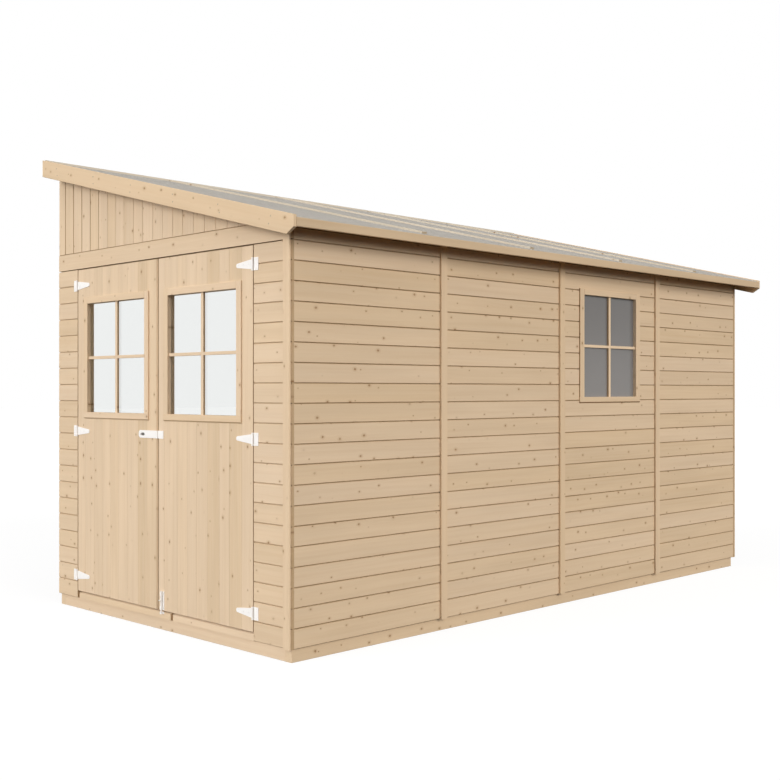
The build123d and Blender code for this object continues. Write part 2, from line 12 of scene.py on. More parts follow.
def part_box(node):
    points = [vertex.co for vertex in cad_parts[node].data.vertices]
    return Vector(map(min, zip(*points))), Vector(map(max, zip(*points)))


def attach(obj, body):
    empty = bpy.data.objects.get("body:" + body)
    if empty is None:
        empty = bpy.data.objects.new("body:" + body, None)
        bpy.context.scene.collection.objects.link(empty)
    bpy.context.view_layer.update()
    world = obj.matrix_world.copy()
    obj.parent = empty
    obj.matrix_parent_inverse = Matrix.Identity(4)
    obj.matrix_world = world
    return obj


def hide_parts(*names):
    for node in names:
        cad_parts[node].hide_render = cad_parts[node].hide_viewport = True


bl_info = {
    "name": "Lean-to Garden Shed",
    "version": (1, 0, 0),
    "blender": (4, 5, 0),
    "location": "View3D > Sidebar > Shed",
    "description": "Clads and finishes a lean-to garden shed with glazed double doors",
    "category": "Add Mesh",
}

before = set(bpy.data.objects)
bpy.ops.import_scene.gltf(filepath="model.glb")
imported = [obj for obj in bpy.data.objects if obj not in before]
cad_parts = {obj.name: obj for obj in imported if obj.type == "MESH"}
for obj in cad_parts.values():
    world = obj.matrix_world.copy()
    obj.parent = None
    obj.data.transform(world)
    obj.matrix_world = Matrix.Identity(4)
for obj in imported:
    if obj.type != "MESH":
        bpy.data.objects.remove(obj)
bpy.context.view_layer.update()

ROOF_PITCH = math.radians(13.9)
(_, EAVE_Y, _), BARGE_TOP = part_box("barge_boards")
(_, WALL_Y, _), (WALL_X, REAR_Y, _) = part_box("far_gable_boards")
(_, FRAME_Y, _), (FRAME_X, _, BASE_TOP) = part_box("base_frame")
(_, INNER_Y, _), (INNER_X, _, _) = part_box("floor_boards")
(_, _, HEADER_Z), (_, _, HEADER_TOP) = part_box("door_header")
BEAM_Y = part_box("rear_beam")[0].y
JAMB_LOW_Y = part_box("door_gable_front_boards")[1].y
JAMB_HIGH_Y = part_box("door_gable_rear_boards")[0].y

# Depths under the tops of the barge boards
BATTEN_TOP = -0.004
FELT_TOP = 0.010
DECK_UNDERSIDE = 0.029
UNDER_RAIL = DECK_UNDERSIDE + 0.0437

# Widths of timbers, and how far one stands over or clear of another
STUD = 0.028
RAIL = 0.045
BATTEN = 0.032
LEDGE = 0.095
RAFTER_DEPTH = 0.095
FASCIA = 0.018
BARGE_DEPTH = 0.090
BARGE_BEVEL = 0.0016
BARGE_CLIP = (0.047, 0.051)
BARGE_NAIL_ROWS = (0.028, 0.062)
BARGE_NAIL_RADIUS = 0.0040
WALL_COURSES = 20
# Height of the painted shadow along the top of the long wall's boards, under the eave
EAVE_SHADE = 0.034
HEADER_LIFT = 0.003
HEADER_JOINT = (0.0038, 0.0016, 0.007)
DOOR_LIFT = 0.0042
CASING_RAIL = 0.034
CASING_FACE = 0.007
CASING_RAIL_LAP = 0.022
WALL_CASING_LAP = 0.031
DOOR_CASING_LAP = 0.024
WALL_STILE = 0.043
DOOR_STILE = 0.036
LINER = 0.012
PANE_FRONT = -0.0138

# Screws of the fittings, from the pin or from the edges of the plate
PIN_INSET = 0.002
STRAP_END = 0.022
STRAP_SCREWS = (0.030, 0.068, 0.106)
FRAME_PLATE_SCREWS = (0.023, 0.019)
COUNTERSINK = 0.0016
HASP_SCREWS = (0.009, 0.037)
HASP_SCREW_STEP = 0.010
BOLT_SCREWS = (0.005, 0.025)

# Seams of the door boards as the distance along the gable, and the tone of each board
DOOR_BOARDS = {
    "right": (
        (0.342, 0.434, 0.510, 0.600, 0.687, 0.762, 0.839, 0.951),
        (0.7, -0.4, 0.65, -0.35, 0.6, 0.7, 0.5, 0.65),
    ),
    "left": (
        (1.100, 1.184, 1.277, 1.365, 1.439, 1.515, 1.600, 1.685),
        (-0.4, 0.65, 0.6, 0.35, 0.6, 0.55, 0.7, 0.6),
    ),
}

# Seams of the upright boards above the header
GABLE_SEAMS = [WALL_Y]
GABLE_SEAMS += [WALL_Y + d for d in (0.107, 0.193, 0.279, 0.365, 0.451, 0.537, 0.624, 0.713, 0.799, 0.881)]
GABLE_SEAMS += [WALL_Y + d for d in (0.970, 1.053, 1.142, 1.224, 1.313, 1.390, 1.470, 1.555, 1.640, 1.725)]
GABLE_SEAMS += [WALL_Y + 1.811, WALL_Y + 1.897, REAR_Y]

# Name, slot, strength of figure and depth of saw marks of each kind of wood
WOODS = {
    "boards": ("Spruce wall boards", "wall_boards", 1.0, 0.0),
    "doors": ("Spruce door boards", "door_boards", 1.0, 0.0),
    "trim": ("Spruce trim", "trim_timber", 0.8, 0.0),
    "battens": ("Spruce roof battens", "trim_timber", 0.8, 0.0),
    "sawn": ("Sawn spruce", "frame_timber", 1.2, 0.25),
    "roof": ("Sawn spruce with painted eave shade", "frame_timber", 1.2, 0.25),
}

# Name, strength, tint and direction of each lamp
LAMPS = (
    ("Gable lamp", 2.50, (1.0, 1.0, 1.0), (-0.93, 0.30, 0.21)),
    ("Long wall lamp", 1.25, (1.0, 0.97, 0.915), (0.15, -0.92, 0.34)),
    ("Corner lamp", 0.80, (1.0, 0.97, 0.93), (-0.30, -0.90, 0.30)),
)

LAMP_SPREAD = math.radians(32)

# Shares of red, green and blue left on a face with painted shade 1: deep in a board joint, under the eave, on
# shaded sides; cut ends take it as darker end grain
PAINTED_SHADE_TINT = (0.48, 0.40, 0.31)

# Cells along and across a board that may hold a knot, per metre, and the radii of knots
KNOT_CELLS = (8.5, 12.0)
KNOT_RADII = (0.0020, 0.0048)

ORIGIN = Vector((0, 0, 0))
X_AXIS = Vector((1, 0, 0))
Y_AXIS = Vector((0, 1, 0))
Z_AXIS = Vector((0, 0, 1))
UP_SLOPE = Vector((0, math.cos(ROOF_PITCH), math.sin(ROOF_PITCH)))
ROOF_NORMAL = Vector((0, -math.sin(ROOF_PITCH), math.cos(ROOF_PITCH)))


def linear(red, green, blue):
    """Colour from 0 to 255 as seen on screen, turned into Blender's linear values."""
    shares = (red / 255, green / 255, blue / 255)
    return tuple(c / 12.92 if c <= 0.04045 else ((c + 0.055) / 1.055) ** 2.4 for c in shares)


def length(label, description, default):
    """A size in metres that the user can change."""
    return bpy.props.FloatProperty(
        name=label, description=description, default=default, min=0.0, precision=4, unit="LENGTH"
    )


def colour(label, description, *default):
    """A colour that the user can change."""
    return bpy.props.FloatVectorProperty(
        name=label, description=description, default=linear(*default), min=0.0, max=1.0, subtype="COLOR"
    )


class ShedSizes(bpy.types.PropertyGroup):
    """Sizes of the boards and small timbers."""

    wall_board: length("Wall board", "Height that one wall board covers", 0.088)
    floor_board: length("Floor board", "Width that one floor board covers", 0.089)
    deck_board: length("Roof board", "Width that one roof board covers", 0.1006)
    board_thickness: length("Board thickness", "Thickness of wall and door boards", 0.016)
    joint_chamfer: length("Joint chamfer", "Width of the bevel on each side of a board joint", 0.0025)
    joint_gap: length("Joint gap", "Open width at the bottom of a board joint", 0.0022)
    joint_depth: length("Joint depth", "How deep a board joint goes before the tongue", 0.0070)
    fine_joint: length("Fine joint", "Bevel and gap of the closer boards over the doorway", 0.0012)
    tight_joint: length("Tight joint", "Bevel and gap of the closely fitted door boards", 0.0004)
    timber_edge: length("Timber edge", "Bevel along the edges of planed timber", 0.0014)
    bar_width: length("Upright window bar", "Face width of the upright window bars", 0.020)
    cross_bar_width: length("Level window bar", "Face width of the level window bars", 0.0155)
    bar_set_back: length("Window bar set back", "How far the bars lie behind the face of the casing", 0.0095)
    screw_radius: length("Screw head radius", "Radius of the screw heads in the fittings", 0.0036)
    nail_radius: length("Nail head radius", "Radius of the nail heads in the roof battens", 0.0035)


class ShedColours(bpy.types.PropertyGroup):
    """Colours of the finishes."""

    boards: colour("Wall boards", "Planed spruce of the wall boards", 224, 200, 170)
    doors: colour("Door boards", "Planed spruce of the door boards", 226, 202, 172)
    trim: colour("Trim", "Planed spruce of strips, casings and roof trim", 226, 201, 170)
    sawn: colour("Frame timber", "Sawn spruce of frames and roof timbers", 217, 187, 148)
    # The roof boards are darker and yellower than the frame timber, as painted shade for their underside
    # under the eave
    roof: colour("Roof boards", "Darker spruce of the roof boards", 208, 172, 112)
    late_wood: colour("Grain", "Darker lines of the grain", 203, 170, 130)
    battens: colour("Roof battens", "Greyer spruce of the battens on the felt", 206, 197, 180)
    knot: colour("Knots", "Core of a knot", 130, 88, 48)
    felt: colour("Roofing felt", "Mineral finish of the roofing felt", 187, 182, 175)
    metal: colour("Fittings", "White coating of hinges, hasp and bolt", 246, 242, 238)
    nail: colour("Nails", "Zinc of the nail heads", 128, 124, 118)
    glass: colour("Glass", "Tint of the door panes", 236, 238, 237)
    # Painted grey on the wall window's pane, standing for the reflection and the dark inside seen through it
    painted_pane_grey: colour("Painted grey of the wall pane", "Painted grey for the reflection and dark inside seen in the wall window", 131, 129, 128)


def roof_z(y, depth=0.0):
    """Height of the plane that lies this depth under the tops of the barge boards."""
    return BARGE_TOP.z - (BARGE_TOP.y - y) * math.tan(ROOF_PITCH) - depth / math.cos(ROOF_PITCH)


def roof_cut(depth):
    """Cutting plane parallel to the roof, as a point on it and its normal."""
    return Vector((0, 0, roof_z(0, depth))), ROOF_NORMAL


def plumb_cut(y):
    """Upright cutting plane across the slope."""
    return Vector((0, y, 0)), Y_AXIS


def placing(origin, along, across, inward):
    """Matrix that takes (along, across, inward) into the shed's frame."""
    matrix = Matrix((along, across, inward)).transposed().to_4x4()
    matrix.translation = origin
    return matrix


LEVEL = placing(ORIGIN, X_AXIS, Y_AXIS, Z_AXIS)


def on_slope(depth, inward):
    """Placing for lengths that run up the slope, this deep under the tops of the barge boards."""
    return placing(Vector((0, 0, roof_z(0, depth))), UP_SLOPE, X_AXIS, inward)


def on_gable(x, inward):
    """Placings for level and for upright boards on the face of a gable."""
    face = Vector((x, 0, 0))
    return placing(face, Y_AXIS, Z_AXIS, inward), placing(face, Z_AXIS, Y_AXIS, inward)


def window_hole(node):
    """Hole in the boards behind a window's casing: its two sides, then its foot and head."""
    low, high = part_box(f"{node}_casing")
    axis, lap = (0, WALL_CASING_LAP) if node == "wall_window" else (1, DOOR_CASING_LAP)
    return low[axis] + lap, high[axis] - lap, low.z + CASING_RAIL_LAP, high.z - CASING_RAIL_LAP


def board_profile(low, high, thickness, chamfer, gap, depth, joint_low=True, joint_high=True):
    """Section of a board across its length, with half a bevelled joint on each joined side."""
    points = []
    for edge, side, joint in ((low, 1, joint_low), (high, -1, joint_high)):
        half = [(edge, thickness), (edge, 0.0)]
        if joint:
            half = [
                (edge, thickness),
                (edge, depth),
                (edge + side * gap / 2, depth),
                (edge + side * gap / 2, chamfer),
                (edge + side * (gap / 2 + chamfer), 0.0),
            ]
        points += half if side == 1 else half[::-1]
    return points


def joint_shades(dark, joint_low=True, joint_high=True):
    """Painted shade on the faces of a board's section, in and beside its joints, by their number."""
    low = (0.0, dark, dark, 0.45 * dark) if joint_low else (0.0,)
    high = (0.45 * dark, dark, dark) if joint_high else ()
    return dict(enumerate((*low, 0.0, *high)))


def timber_profile(low, high, back, front, edge):
    """Section of planed timber with bevelled edges. Faces 2 and 6 are its high and its low side."""
    return [
        (low + edge, back),
        (high - edge, back),
        (high, back + edge),
        (high, front - edge),
        (high - edge, front),
        (low + edge, front),
        (low, front - edge),
        (low, back + edge),
    ]


def sizes():
    """Sizes that the user has set."""
    return bpy.context.scene.shed_sizes


def colours():
    """Colours that the user has set."""
    return bpy.context.scene.shed_colours


class Timbers:
    """Collects lengths of timber into one mesh. Each has its own stretch of grain and its own tone."""

    def __init__(self, name):
        self.name = name
        self.random = random.Random(name)
        self.points, self.faces, self.grain, self.tones, self.shades = [], [], [], [], []
        self.pick()

    def pick(self):
        """Choose the tree that the next length is cut from."""
        self.offset = Vector([self.random.uniform(0, 40) for _ in range(3)])
        self.tone = self.random.random()

    def point(self, point, grain):
        """Add a point, with its place in the grain."""
        self.points.append(point)
        self.grain.append(self.offset + Vector(grain))
        self.tones.append(self.tone)

    def face(self, corners, shade=0.0):
        """Add a face, with how much painted shade it carries: 0 for bare wood, 1 for the painted shade at the
        bottom of a joint.
        """
        self.faces.append(corners)
        self.shades.append(shade)

    def sides(self, first, count, shades=None):
        """Join two rings of points that follow one another."""
        for i in range(count):
            j = (i + 1) % count
            corners = (first + i, first + j, first + count + j, first + count + i)
            self.face(corners, (shades or {}).get(i, 0.0))

    def caps(self, first, last, count, shade=0.0):
        """Close the first and the last ring of points."""
        self.face(tuple(range(first, first + count))[::-1], shade)
        self.face(tuple(range(last, last + count)), shade)

    def add(self, place, profile, start, end, same=False, shades=None, ends=0.5):
        """Add a length with this section. Start and end are distances or cutting planes."""
        if not same:
            self.pick()
        run = (place.to_3x3() @ X_AXIS).normalized()
        first, count = len(self.points), len(profile)
        for stop in (start, end):
            for across, inward in profile:
                point = place @ Vector((0, across, inward))
                distance = stop
                if isinstance(stop, tuple):
                    distance = (stop[0] - point).dot(stop[1]) / run.dot(stop[1])
                self.point(point + run * distance, (distance, across, inward))
        # Cut ends are darker for their end grain; the sides carry the painted shade given for them
        self.caps(first, first + count, count, ends)
        self.sides(first, count, shades)

    def plate(self, layers, origin, along, across):
        """Add a flat piece from its outlines at several depths, with its grain along one direction."""
        self.pick()
        first, count = len(self.points), len(layers[0][1])
        for depth, outline in layers:
            for point in outline:
                self.point(point, ((point - origin).dot(along), (point - origin).dot(across), depth))
        last = len(self.points) - count
        for ring in range(first, last, count):
            self.sides(ring, count)
        self.caps(first, last, count)

    def stick(self, low, high, axis, end=None, edge=None, cut=0.5):
        """Add a square-edged length that fills a box, running along one axis and cut where asked."""
        edge = sizes().timber_edge if edge is None else edge
        run = "XYZ".index(axis)
        across, inward = sorted({0, 1, 2} - {run}, key=lambda k: low[k] - high[k])
        if end is not None:
            across, inward = (0, 1) if high[0] - low[0] > high[1] - low[1] else (1, 0)
        axes = [Vector([float(i == k) for i in range(3)]) for k in (run, across, inward)]
        profile = timber_profile(low[across], high[across], low[inward], high[inward], edge)
        self.add(placing(ORIGIN, *axes), profile, low[run], high[run] if end is None else end, ends=cut)

    def boards(self, place, seams, start, end, joint, hole=None, dark=1.0, tones=()):
        """Add boards side by side between the seams, leaving out a hole given in (across, along), with
        painted shade in their joints as strong as dark.
        """
        shape = (sizes().board_thickness, *joint)
        for number, (low, high) in enumerate(zip(seams, seams[1:])):
            self.pick()
            if number < len(tones):
                self.tone = tones[number]
            stops = [low, *(e for e in (hole or ())[:2] if low < e < high), high]
            for near, far in zip(stops, stops[1:]):
                joined = (near == low, far == high)
                profile = board_profile(near, far, *shape, *joined)
                runs = [(start, end)]
                if hole and hole[0] <= (near + far) / 2 <= hole[1] and high > hole[0] and low < hole[1]:
                    runs = [(start, hole[2]), (hole[3], end)]
                for begin, stop in runs:
                    self.add(place, profile, begin, stop, same=True, shades=joint_shades(dark, *joined))

    def finish(self, kind, *nodes, body="root", slot=None):
        """Make the object of this kind of wood, let it ride on its body and stand for its CAD nodes."""
        mesh = bpy.data.meshes.new(self.name)
        mesh.from_pydata(self.points, [], self.faces)
        # The shade attribute holds the painted shade of each face and the darker end grain of cut ends
        for name, form, domain, key, values in (
            ("grain", "FLOAT_VECTOR", "POINT", "vector", [c for point in self.grain for c in point]),
            ("tone", "FLOAT", "POINT", "value", self.tones),
            ("shade", "FLOAT", "FACE", "value", self.shades),
        ):
            mesh.attributes.new(name, form, domain).data.foreach_set(key, values)
        settle(mesh, wood(kind), slot or WOODS[kind][1], body, *nodes)


def settle(mesh, material, slot, body, *nodes):
    """Turn a closed mesh the right way out and put it on its body with its finish."""
    shell = bmesh.new()
    shell.from_mesh(mesh)
    bmesh.ops.recalc_face_normals(shell, faces=shell.faces)
    shell.to_mesh(mesh)
    shell.free()
    mesh.materials.append(material)
    piece = bpy.data.objects.new(mesh.name, mesh)
    bpy.context.scene.collection.objects.link(piece)
    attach(piece, body)
    if nodes:
        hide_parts(*nodes)


def joint(kind):
    """Bevel, gap and depth of a joint: open between wall boards, fine over the doorway, or tight."""
    if kind == "open":
        return sizes().joint_chamfer, sizes().joint_gap, sizes().joint_depth
    width = sizes().fine_joint if kind == "fine" else sizes().tight_joint
    return width, width, 4 * width


def steps(first, last, pitch):
    """Seams from first to last at this pitch, the last board taking what is left."""
    count = max(1, math.ceil((last - first) / pitch - 0.02))
    return [first + pitch * i for i in range(count)] + [last]


def between(first, last, count):
    """Even places from first to last, leaving out both ends."""
    return [first + (last - first) * (i + 1) / (count + 1) for i in range(count)]


def tinted(base, factor):
    """Colour made darker or lighter by a factor."""
    return tuple(min(1.0, c * factor) for c in base)


class Shader:
    """Short calls that add and link the nodes of one material or world."""

    def __init__(self, name, blocks=None, output="OutputMaterial"):
        self.block = (bpy.data.materials if blocks is None else blocks).new(name)
        self.block.use_nodes = True
        self.tree = self.block.node_tree
        self.tree.nodes.clear()
        self.output = self.node(output)

    def node(self, kind, inputs=(), **settings):
        """Add a node, set its options, and link or set its inputs by name or number."""
        made = self.tree.nodes.new("ShaderNode" + kind)
        for key, value in settings.items():
            setattr(made, key, value)
        for key, value in dict(inputs).items():
            if isinstance(value, bpy.types.NodeSocket):
                self.tree.links.new(value, made.inputs[key])
            else:
                made.inputs[key].default_value = value
        return made

    def attribute(self, name, output="Fac"):
        """Value that the mesh holds under this name."""
        return self.node("Attribute", attribute_name=name).outputs[output]

    def place(self):
        """Place of a point in the object's own frame."""
        return self.node("TexCoord").outputs["Object"]

    def math(self, operation, first, second=0.0, clamp=False):
        """One step of arithmetic."""
        return self.node("Math", {0: first, 1: second}, operation=operation, use_clamp=clamp).outputs[0]

    times = partialmethod(math, "MULTIPLY")
    plus = partialmethod(math, "ADD")
    minus = partialmethod(math, "SUBTRACT")

    def ramp(self, value, low, high, to_low=0.0, to_high=1.0):
        """Smooth change from one value to another."""
        inputs = {"Value": value, "From Min": low, "From Max": high, "To Min": to_low, "To Max": to_high}
        return self.node("MapRange", inputs, interpolation_type="SMOOTHSTEP").outputs["Result"]

    def scaled(self, x, y, z, scale):
        """Vector of three values, each times its own scale."""
        parts = [self.times(value, factor) for value, factor in zip((x, y, z), scale)]
        return self.node("CombineXYZ", dict(enumerate(parts))).outputs[0]

    def noise(self, vector, scale=1.0, detail=2.0, roughness=0.5):
        """Soft noise from 0 to 1."""
        inputs = {"Vector": vector, "Scale": scale, "Detail": detail, "Roughness": roughness}
        return self.node("TexNoise", inputs).outputs["Fac"]

    def mix(self, share, first, second, blend="MIX"):
        """Blend of two colours."""
        pair = [c if isinstance(c, bpy.types.NodeSocket) else (*c, 1.0) for c in (first, second)]
        inputs = dict(zip((0, 6, 7), (share, *pair)))
        return self.node("Mix", inputs, data_type="RGBA", blend_type=blend).outputs[2]

    def darken(self, colour, parts):
        """Colour times a share for each of its three channels."""
        return self.mix(1.0, colour, self.node("CombineColor", dict(enumerate(parts))).outputs[0], "MULTIPLY")

    def bump(self, height, distance, strength):
        """Normal from a height."""
        inputs = {"Height": height, "Distance": distance, "Strength": strength}
        return self.node("Bump", inputs).outputs[0]

    def seen(self):
        """1 for rays that come from the camera, straight, through glass or off a shiny face."""
        rays = self.node("LightPath").outputs
        bent = self.math("MAXIMUM", rays["Is Transmission Ray"], rays["Is Glossy Ray"])
        return self.math("MAXIMUM", bent, rays["Is Camera Ray"])

    def close(self, kind, inputs):
        """Put the last shader on the surface."""
        self.tree.links.new(self.node(kind, inputs).outputs[0], self.output.inputs["Surface"])
        return self.block

    def surface(self, **inputs):
        """Finish with the main shader, its inputs named with underscores for spaces."""
        return self.close("BsdfPrincipled", {key.replace("_", " "): value for key, value in inputs.items()})


def finish_once(name, make, *settings):
    """Material of this name, made the first time it is asked for."""
    return bpy.data.materials.get(name) or make(name, *settings)


def wood(kind):
    """Spruce in the colour of this kind."""
    name, _, figure, sawn = WOODS[kind]
    return finish_once(name, spruce, getattr(colours(), kind), figure, sawn)


def spruce(name, base, figure, sawn):
    """Spruce with grain along each length, small knots that turn the grain, a tone for each board, and the
    painted shade and darker end grain that each face carries.
    """
    late_wood, knot = colours().late_wood, colours().knot
    s = Shader(name)
    along, across, inward = s.node("SeparateXYZ", {0: s.attribute("grain", "Vector")}).outputs
    tone = s.attribute("tone")

    cell_point = s.scaled(along, across, 0.0, (*KNOT_CELLS, 1.0))
    inputs = {"Vector": cell_point, "Scale": 1.0, "Randomness": 0.9}
    knots = s.node("TexVoronoi", inputs, voronoi_dimensions="2D", feature="F1")
    border = s.node("TexVoronoi", inputs, voronoi_dimensions="2D", feature="DISTANCE_TO_EDGE").outputs[0]
    centre = s.node("SeparateXYZ", {0: knots.outputs["Position"]})
    chance = s.node("SeparateColor", {0: knots.outputs["Color"]})
    off_x = s.minus(along, s.math("DIVIDE", centre.outputs[0], KNOT_CELLS[0]))
    off_y = s.minus(across, s.math("DIVIDE", centre.outputs[1], KNOT_CELLS[1]))
    oval = s.times(off_x, 0.72)
    squares = s.plus(s.times(oval, oval), s.times(off_y, off_y))
    distance = s.math("SQRT", squares)
    kept = s.ramp(chance.outputs[1], 0.25, 0.8)
    radius = s.ramp(chance.outputs[0], 0.0, 1.0, *KNOT_RADII)
    ragged = s.noise(s.scaled(along, across, inward, (160, 160, 160)), 1.0, 2.0)
    reach = s.math("DIVIDE", distance, s.times(radius, s.plus(ragged, 0.55)))
    core = s.times(s.ramp(reach, 0.7, 1.15, 1.0, 0.0), kept)
    halo = s.times(s.ramp(reach, 1.0, 3.2, 1.0, 0.0), kept)
    turn = s.times(s.ramp(distance, 0.0, 0.035, 0.75, 0.0), kept)
    turn = s.times(turn, s.ramp(border, 0.0, 0.2))
    line = s.minus(across, s.times(off_y, turn))

    drift = s.noise(s.scaled(along, line, inward, (0.9, 7.0, 7.0)), 1.0, 2.0)
    line = s.plus(line, s.times(drift, 0.03))
    streak = s.noise(s.scaled(along, line, inward, (1.3, 70.0, 45.0)), 1.0, 3.0, 0.6)
    fibre = s.noise(s.scaled(along, line, inward, (9.0, 520.0, 320.0)), 1.0, 2.0, 0.6)
    rings = s.math("SINE", s.times(s.plus(line, s.times(inward, 0.7)), 880.0))
    rings = s.ramp(rings, 0.1, 1.0)
    cloud = s.noise(s.scaled(along, across, inward, (1.1, 9.0, 9.0)), 1.0, 2.0)

    share = s.times(s.ramp(streak, 0.35, 0.75), 0.19 * figure)
    share = s.plus(share, s.times(rings, 0.03 * figure))
    share = s.plus(share, s.times(s.ramp(fibre, 0.4, 0.8), 0.07 * figure), clamp=True)
    wood = s.mix(share, base, late_wood)
    warm = s.mix(tone, (1.02, 1.0, 0.96), (0.975, 0.975, 0.995))
    wood = s.mix(1.0, wood, warm, "MULTIPLY")
    shade = s.plus(s.times(tone, 0.09), s.ramp(cloud, 0.25, 0.75, 0.90, 0.985))
    wood = s.darken(wood, (shade, shade, shade))
    ring_colour = tuple(0.45 * k + 0.55 * w for k, w in zip(knot, late_wood))
    wood = s.mix(s.times(halo, 0.30), wood, ring_colour)
    wood = s.mix(s.times(core, 0.62), wood, knot)
    # Painted shade of each face from the mesh, with the darker end grain of cut ends
    shade = s.attribute("shade")
    wood = s.darken(wood, [s.math("POWER", left, shade) for left in PAINTED_SHADE_TINT])

    height = s.plus(s.times(fibre, 0.5), s.times(rings, 0.25))
    if sawn:
        marks = s.math("SINE", s.times(along, 1400.0))
        height = s.plus(height, s.times(marks, sawn))
    height = s.minus(height, s.times(core, 0.5))
    rough = s.ramp(streak, 0.2, 0.8, 0.58, 0.72)
    return s.surface(
        Base_Color=wood,
        Roughness=rough,
        Specular_IOR_Level=0.1,
        Normal=s.bump(height, 0.0006, 0.35),
    )


def make_felt(name):
    """Roofing felt with a mineral face."""
    s = Shader(name)
    point = s.place()
    grit = s.node("TexVoronoi", {"Vector": point, "Scale": 700.0})
    speck = s.node("SeparateColor", {0: grit.outputs["Color"]}).outputs[0]
    patches = s.noise(point, 3.0, 4.0)
    fine = s.noise(point, 260.0, 2.0)
    base = colours().felt
    tint = s.mix(s.ramp(speck, 0.1, 0.9), tinted(base, 0.7), tinted(base, 1.3))
    tint = s.mix(s.ramp(patches, 0.35, 0.7, 0.0, 0.35), tint, tinted(base, 0.85))
    height = s.plus(speck, s.times(fine, 0.6))
    return s.surface(
        Base_Color=tint,
        Roughness=s.ramp(fine, 0.2, 0.8, 0.84, 0.98),
        Specular_IOR_Level=0.2,
        Normal=s.bump(height, 0.0008, 0.6),
    )


def make_metal(name):
    """White coated steel with a faint ripple and a few dull marks."""
    s = Shader(name)
    point = s.place()
    ripple = s.noise(point, 420.0, 2.0)
    marks = s.noise(point, 60.0, 5.0, 0.7)
    base = colours().metal
    return s.surface(
        Base_Color=s.mix(s.ramp(marks, 0.58, 0.75, 0.0, 0.35), base, tinted(base, 0.8)),
        Roughness=s.ramp(marks, 0.3, 0.7, 0.34, 0.5),
        Specular_IOR_Level=0.5,
        Normal=s.bump(ripple, 0.0003, 0.2),
    )


def make_nail(name):
    """Zinc nail and screw heads."""
    s = Shader(name)
    spots = s.noise(s.place(), 900.0, 3.0)
    base = colours().nail
    tint = s.mix(s.ramp(spots, 0.35, 0.7), base, tinted(base, 0.7))
    return s.surface(Base_Color=tint, Metallic=0.85, Roughness=s.ramp(spots, 0.3, 0.7, 0.35, 0.55))


def make_glass(name):
    """Clear flat glass with the faintest waviness."""
    s = Shader(name)
    return s.surface(
        Base_Color=(*colours().glass, 1.0),
        Roughness=s.ramp(s.noise(s.place(), 2.2, 1.0), 0.2, 0.8, 0.0, 0.01),
        Transmission_Weight=1.0,
        IOR=1.45,
        Specular_IOR_Level=0.15,
    )


def make_painted_grey_glass(name):
    """Flat glass, partly opaque, with a painted grey that stands for the reflection and the dark inside seen
    in it, lighter towards the bottom.
    """
    s = Shader(name)
    point = s.place()
    wave = s.noise(point, 2.2, 1.0)
    height = s.node("SeparateXYZ", {0: point}).outputs[2]
    low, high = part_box("wall_window_glass")
    base = colours().painted_pane_grey
    rise = s.ramp(height, low.z, high.z, 1.0, 0.0)
    share = s.plus(rise, s.times(wave, 0.15), clamp=True)
    return s.surface(
        Base_Color=s.mix(share, base, tinted(base, 1.35)),
        Roughness=s.ramp(wave, 0.2, 0.8, 0.0, 0.02),
        Transmission_Weight=0.25,
        IOR=1.45,
        Specular_IOR_Level=0.3,
    )


def zinc():
    """Finish of nails and screws."""
    return finish_once("Zinc nail heads", make_nail)


def heads(name, spots, radius, material, body="root", slot="white_metal"):
    """Low domed heads with a small driver recess, one at each (point, outward normal)."""
    shell = bmesh.new()
    rings = ((1.0, 0.0), (0.97, 0.22), (0.72, 0.42), (0.42, 0.5), (0.34, 0.2))
    count = 12
    angles = [2 * math.pi * i / count for i in range(count)]
    for point, normal in spots:
        turn = Vector(normal).to_track_quat("Z", "Y")
        loops = []
        for share, rise in rings:
            flats = [Vector((math.cos(a) * share, math.sin(a) * share, rise)) * radius for a in angles]
            loops.append([shell.verts.new(Vector(point) + turn @ flat) for flat in flats])
        for lower, upper in zip(loops, loops[1:]):
            for i in range(count):
                j = (i + 1) % count
                shell.faces.new((lower[i], lower[j], upper[j], upper[i]))
        shell.faces.new(loops[0][::-1])
        shell.faces.new(loops[-1])
    mesh = bpy.data.meshes.new(name)
    shell.to_mesh(mesh)
    shell.free()
    settle(mesh, material, slot, body)


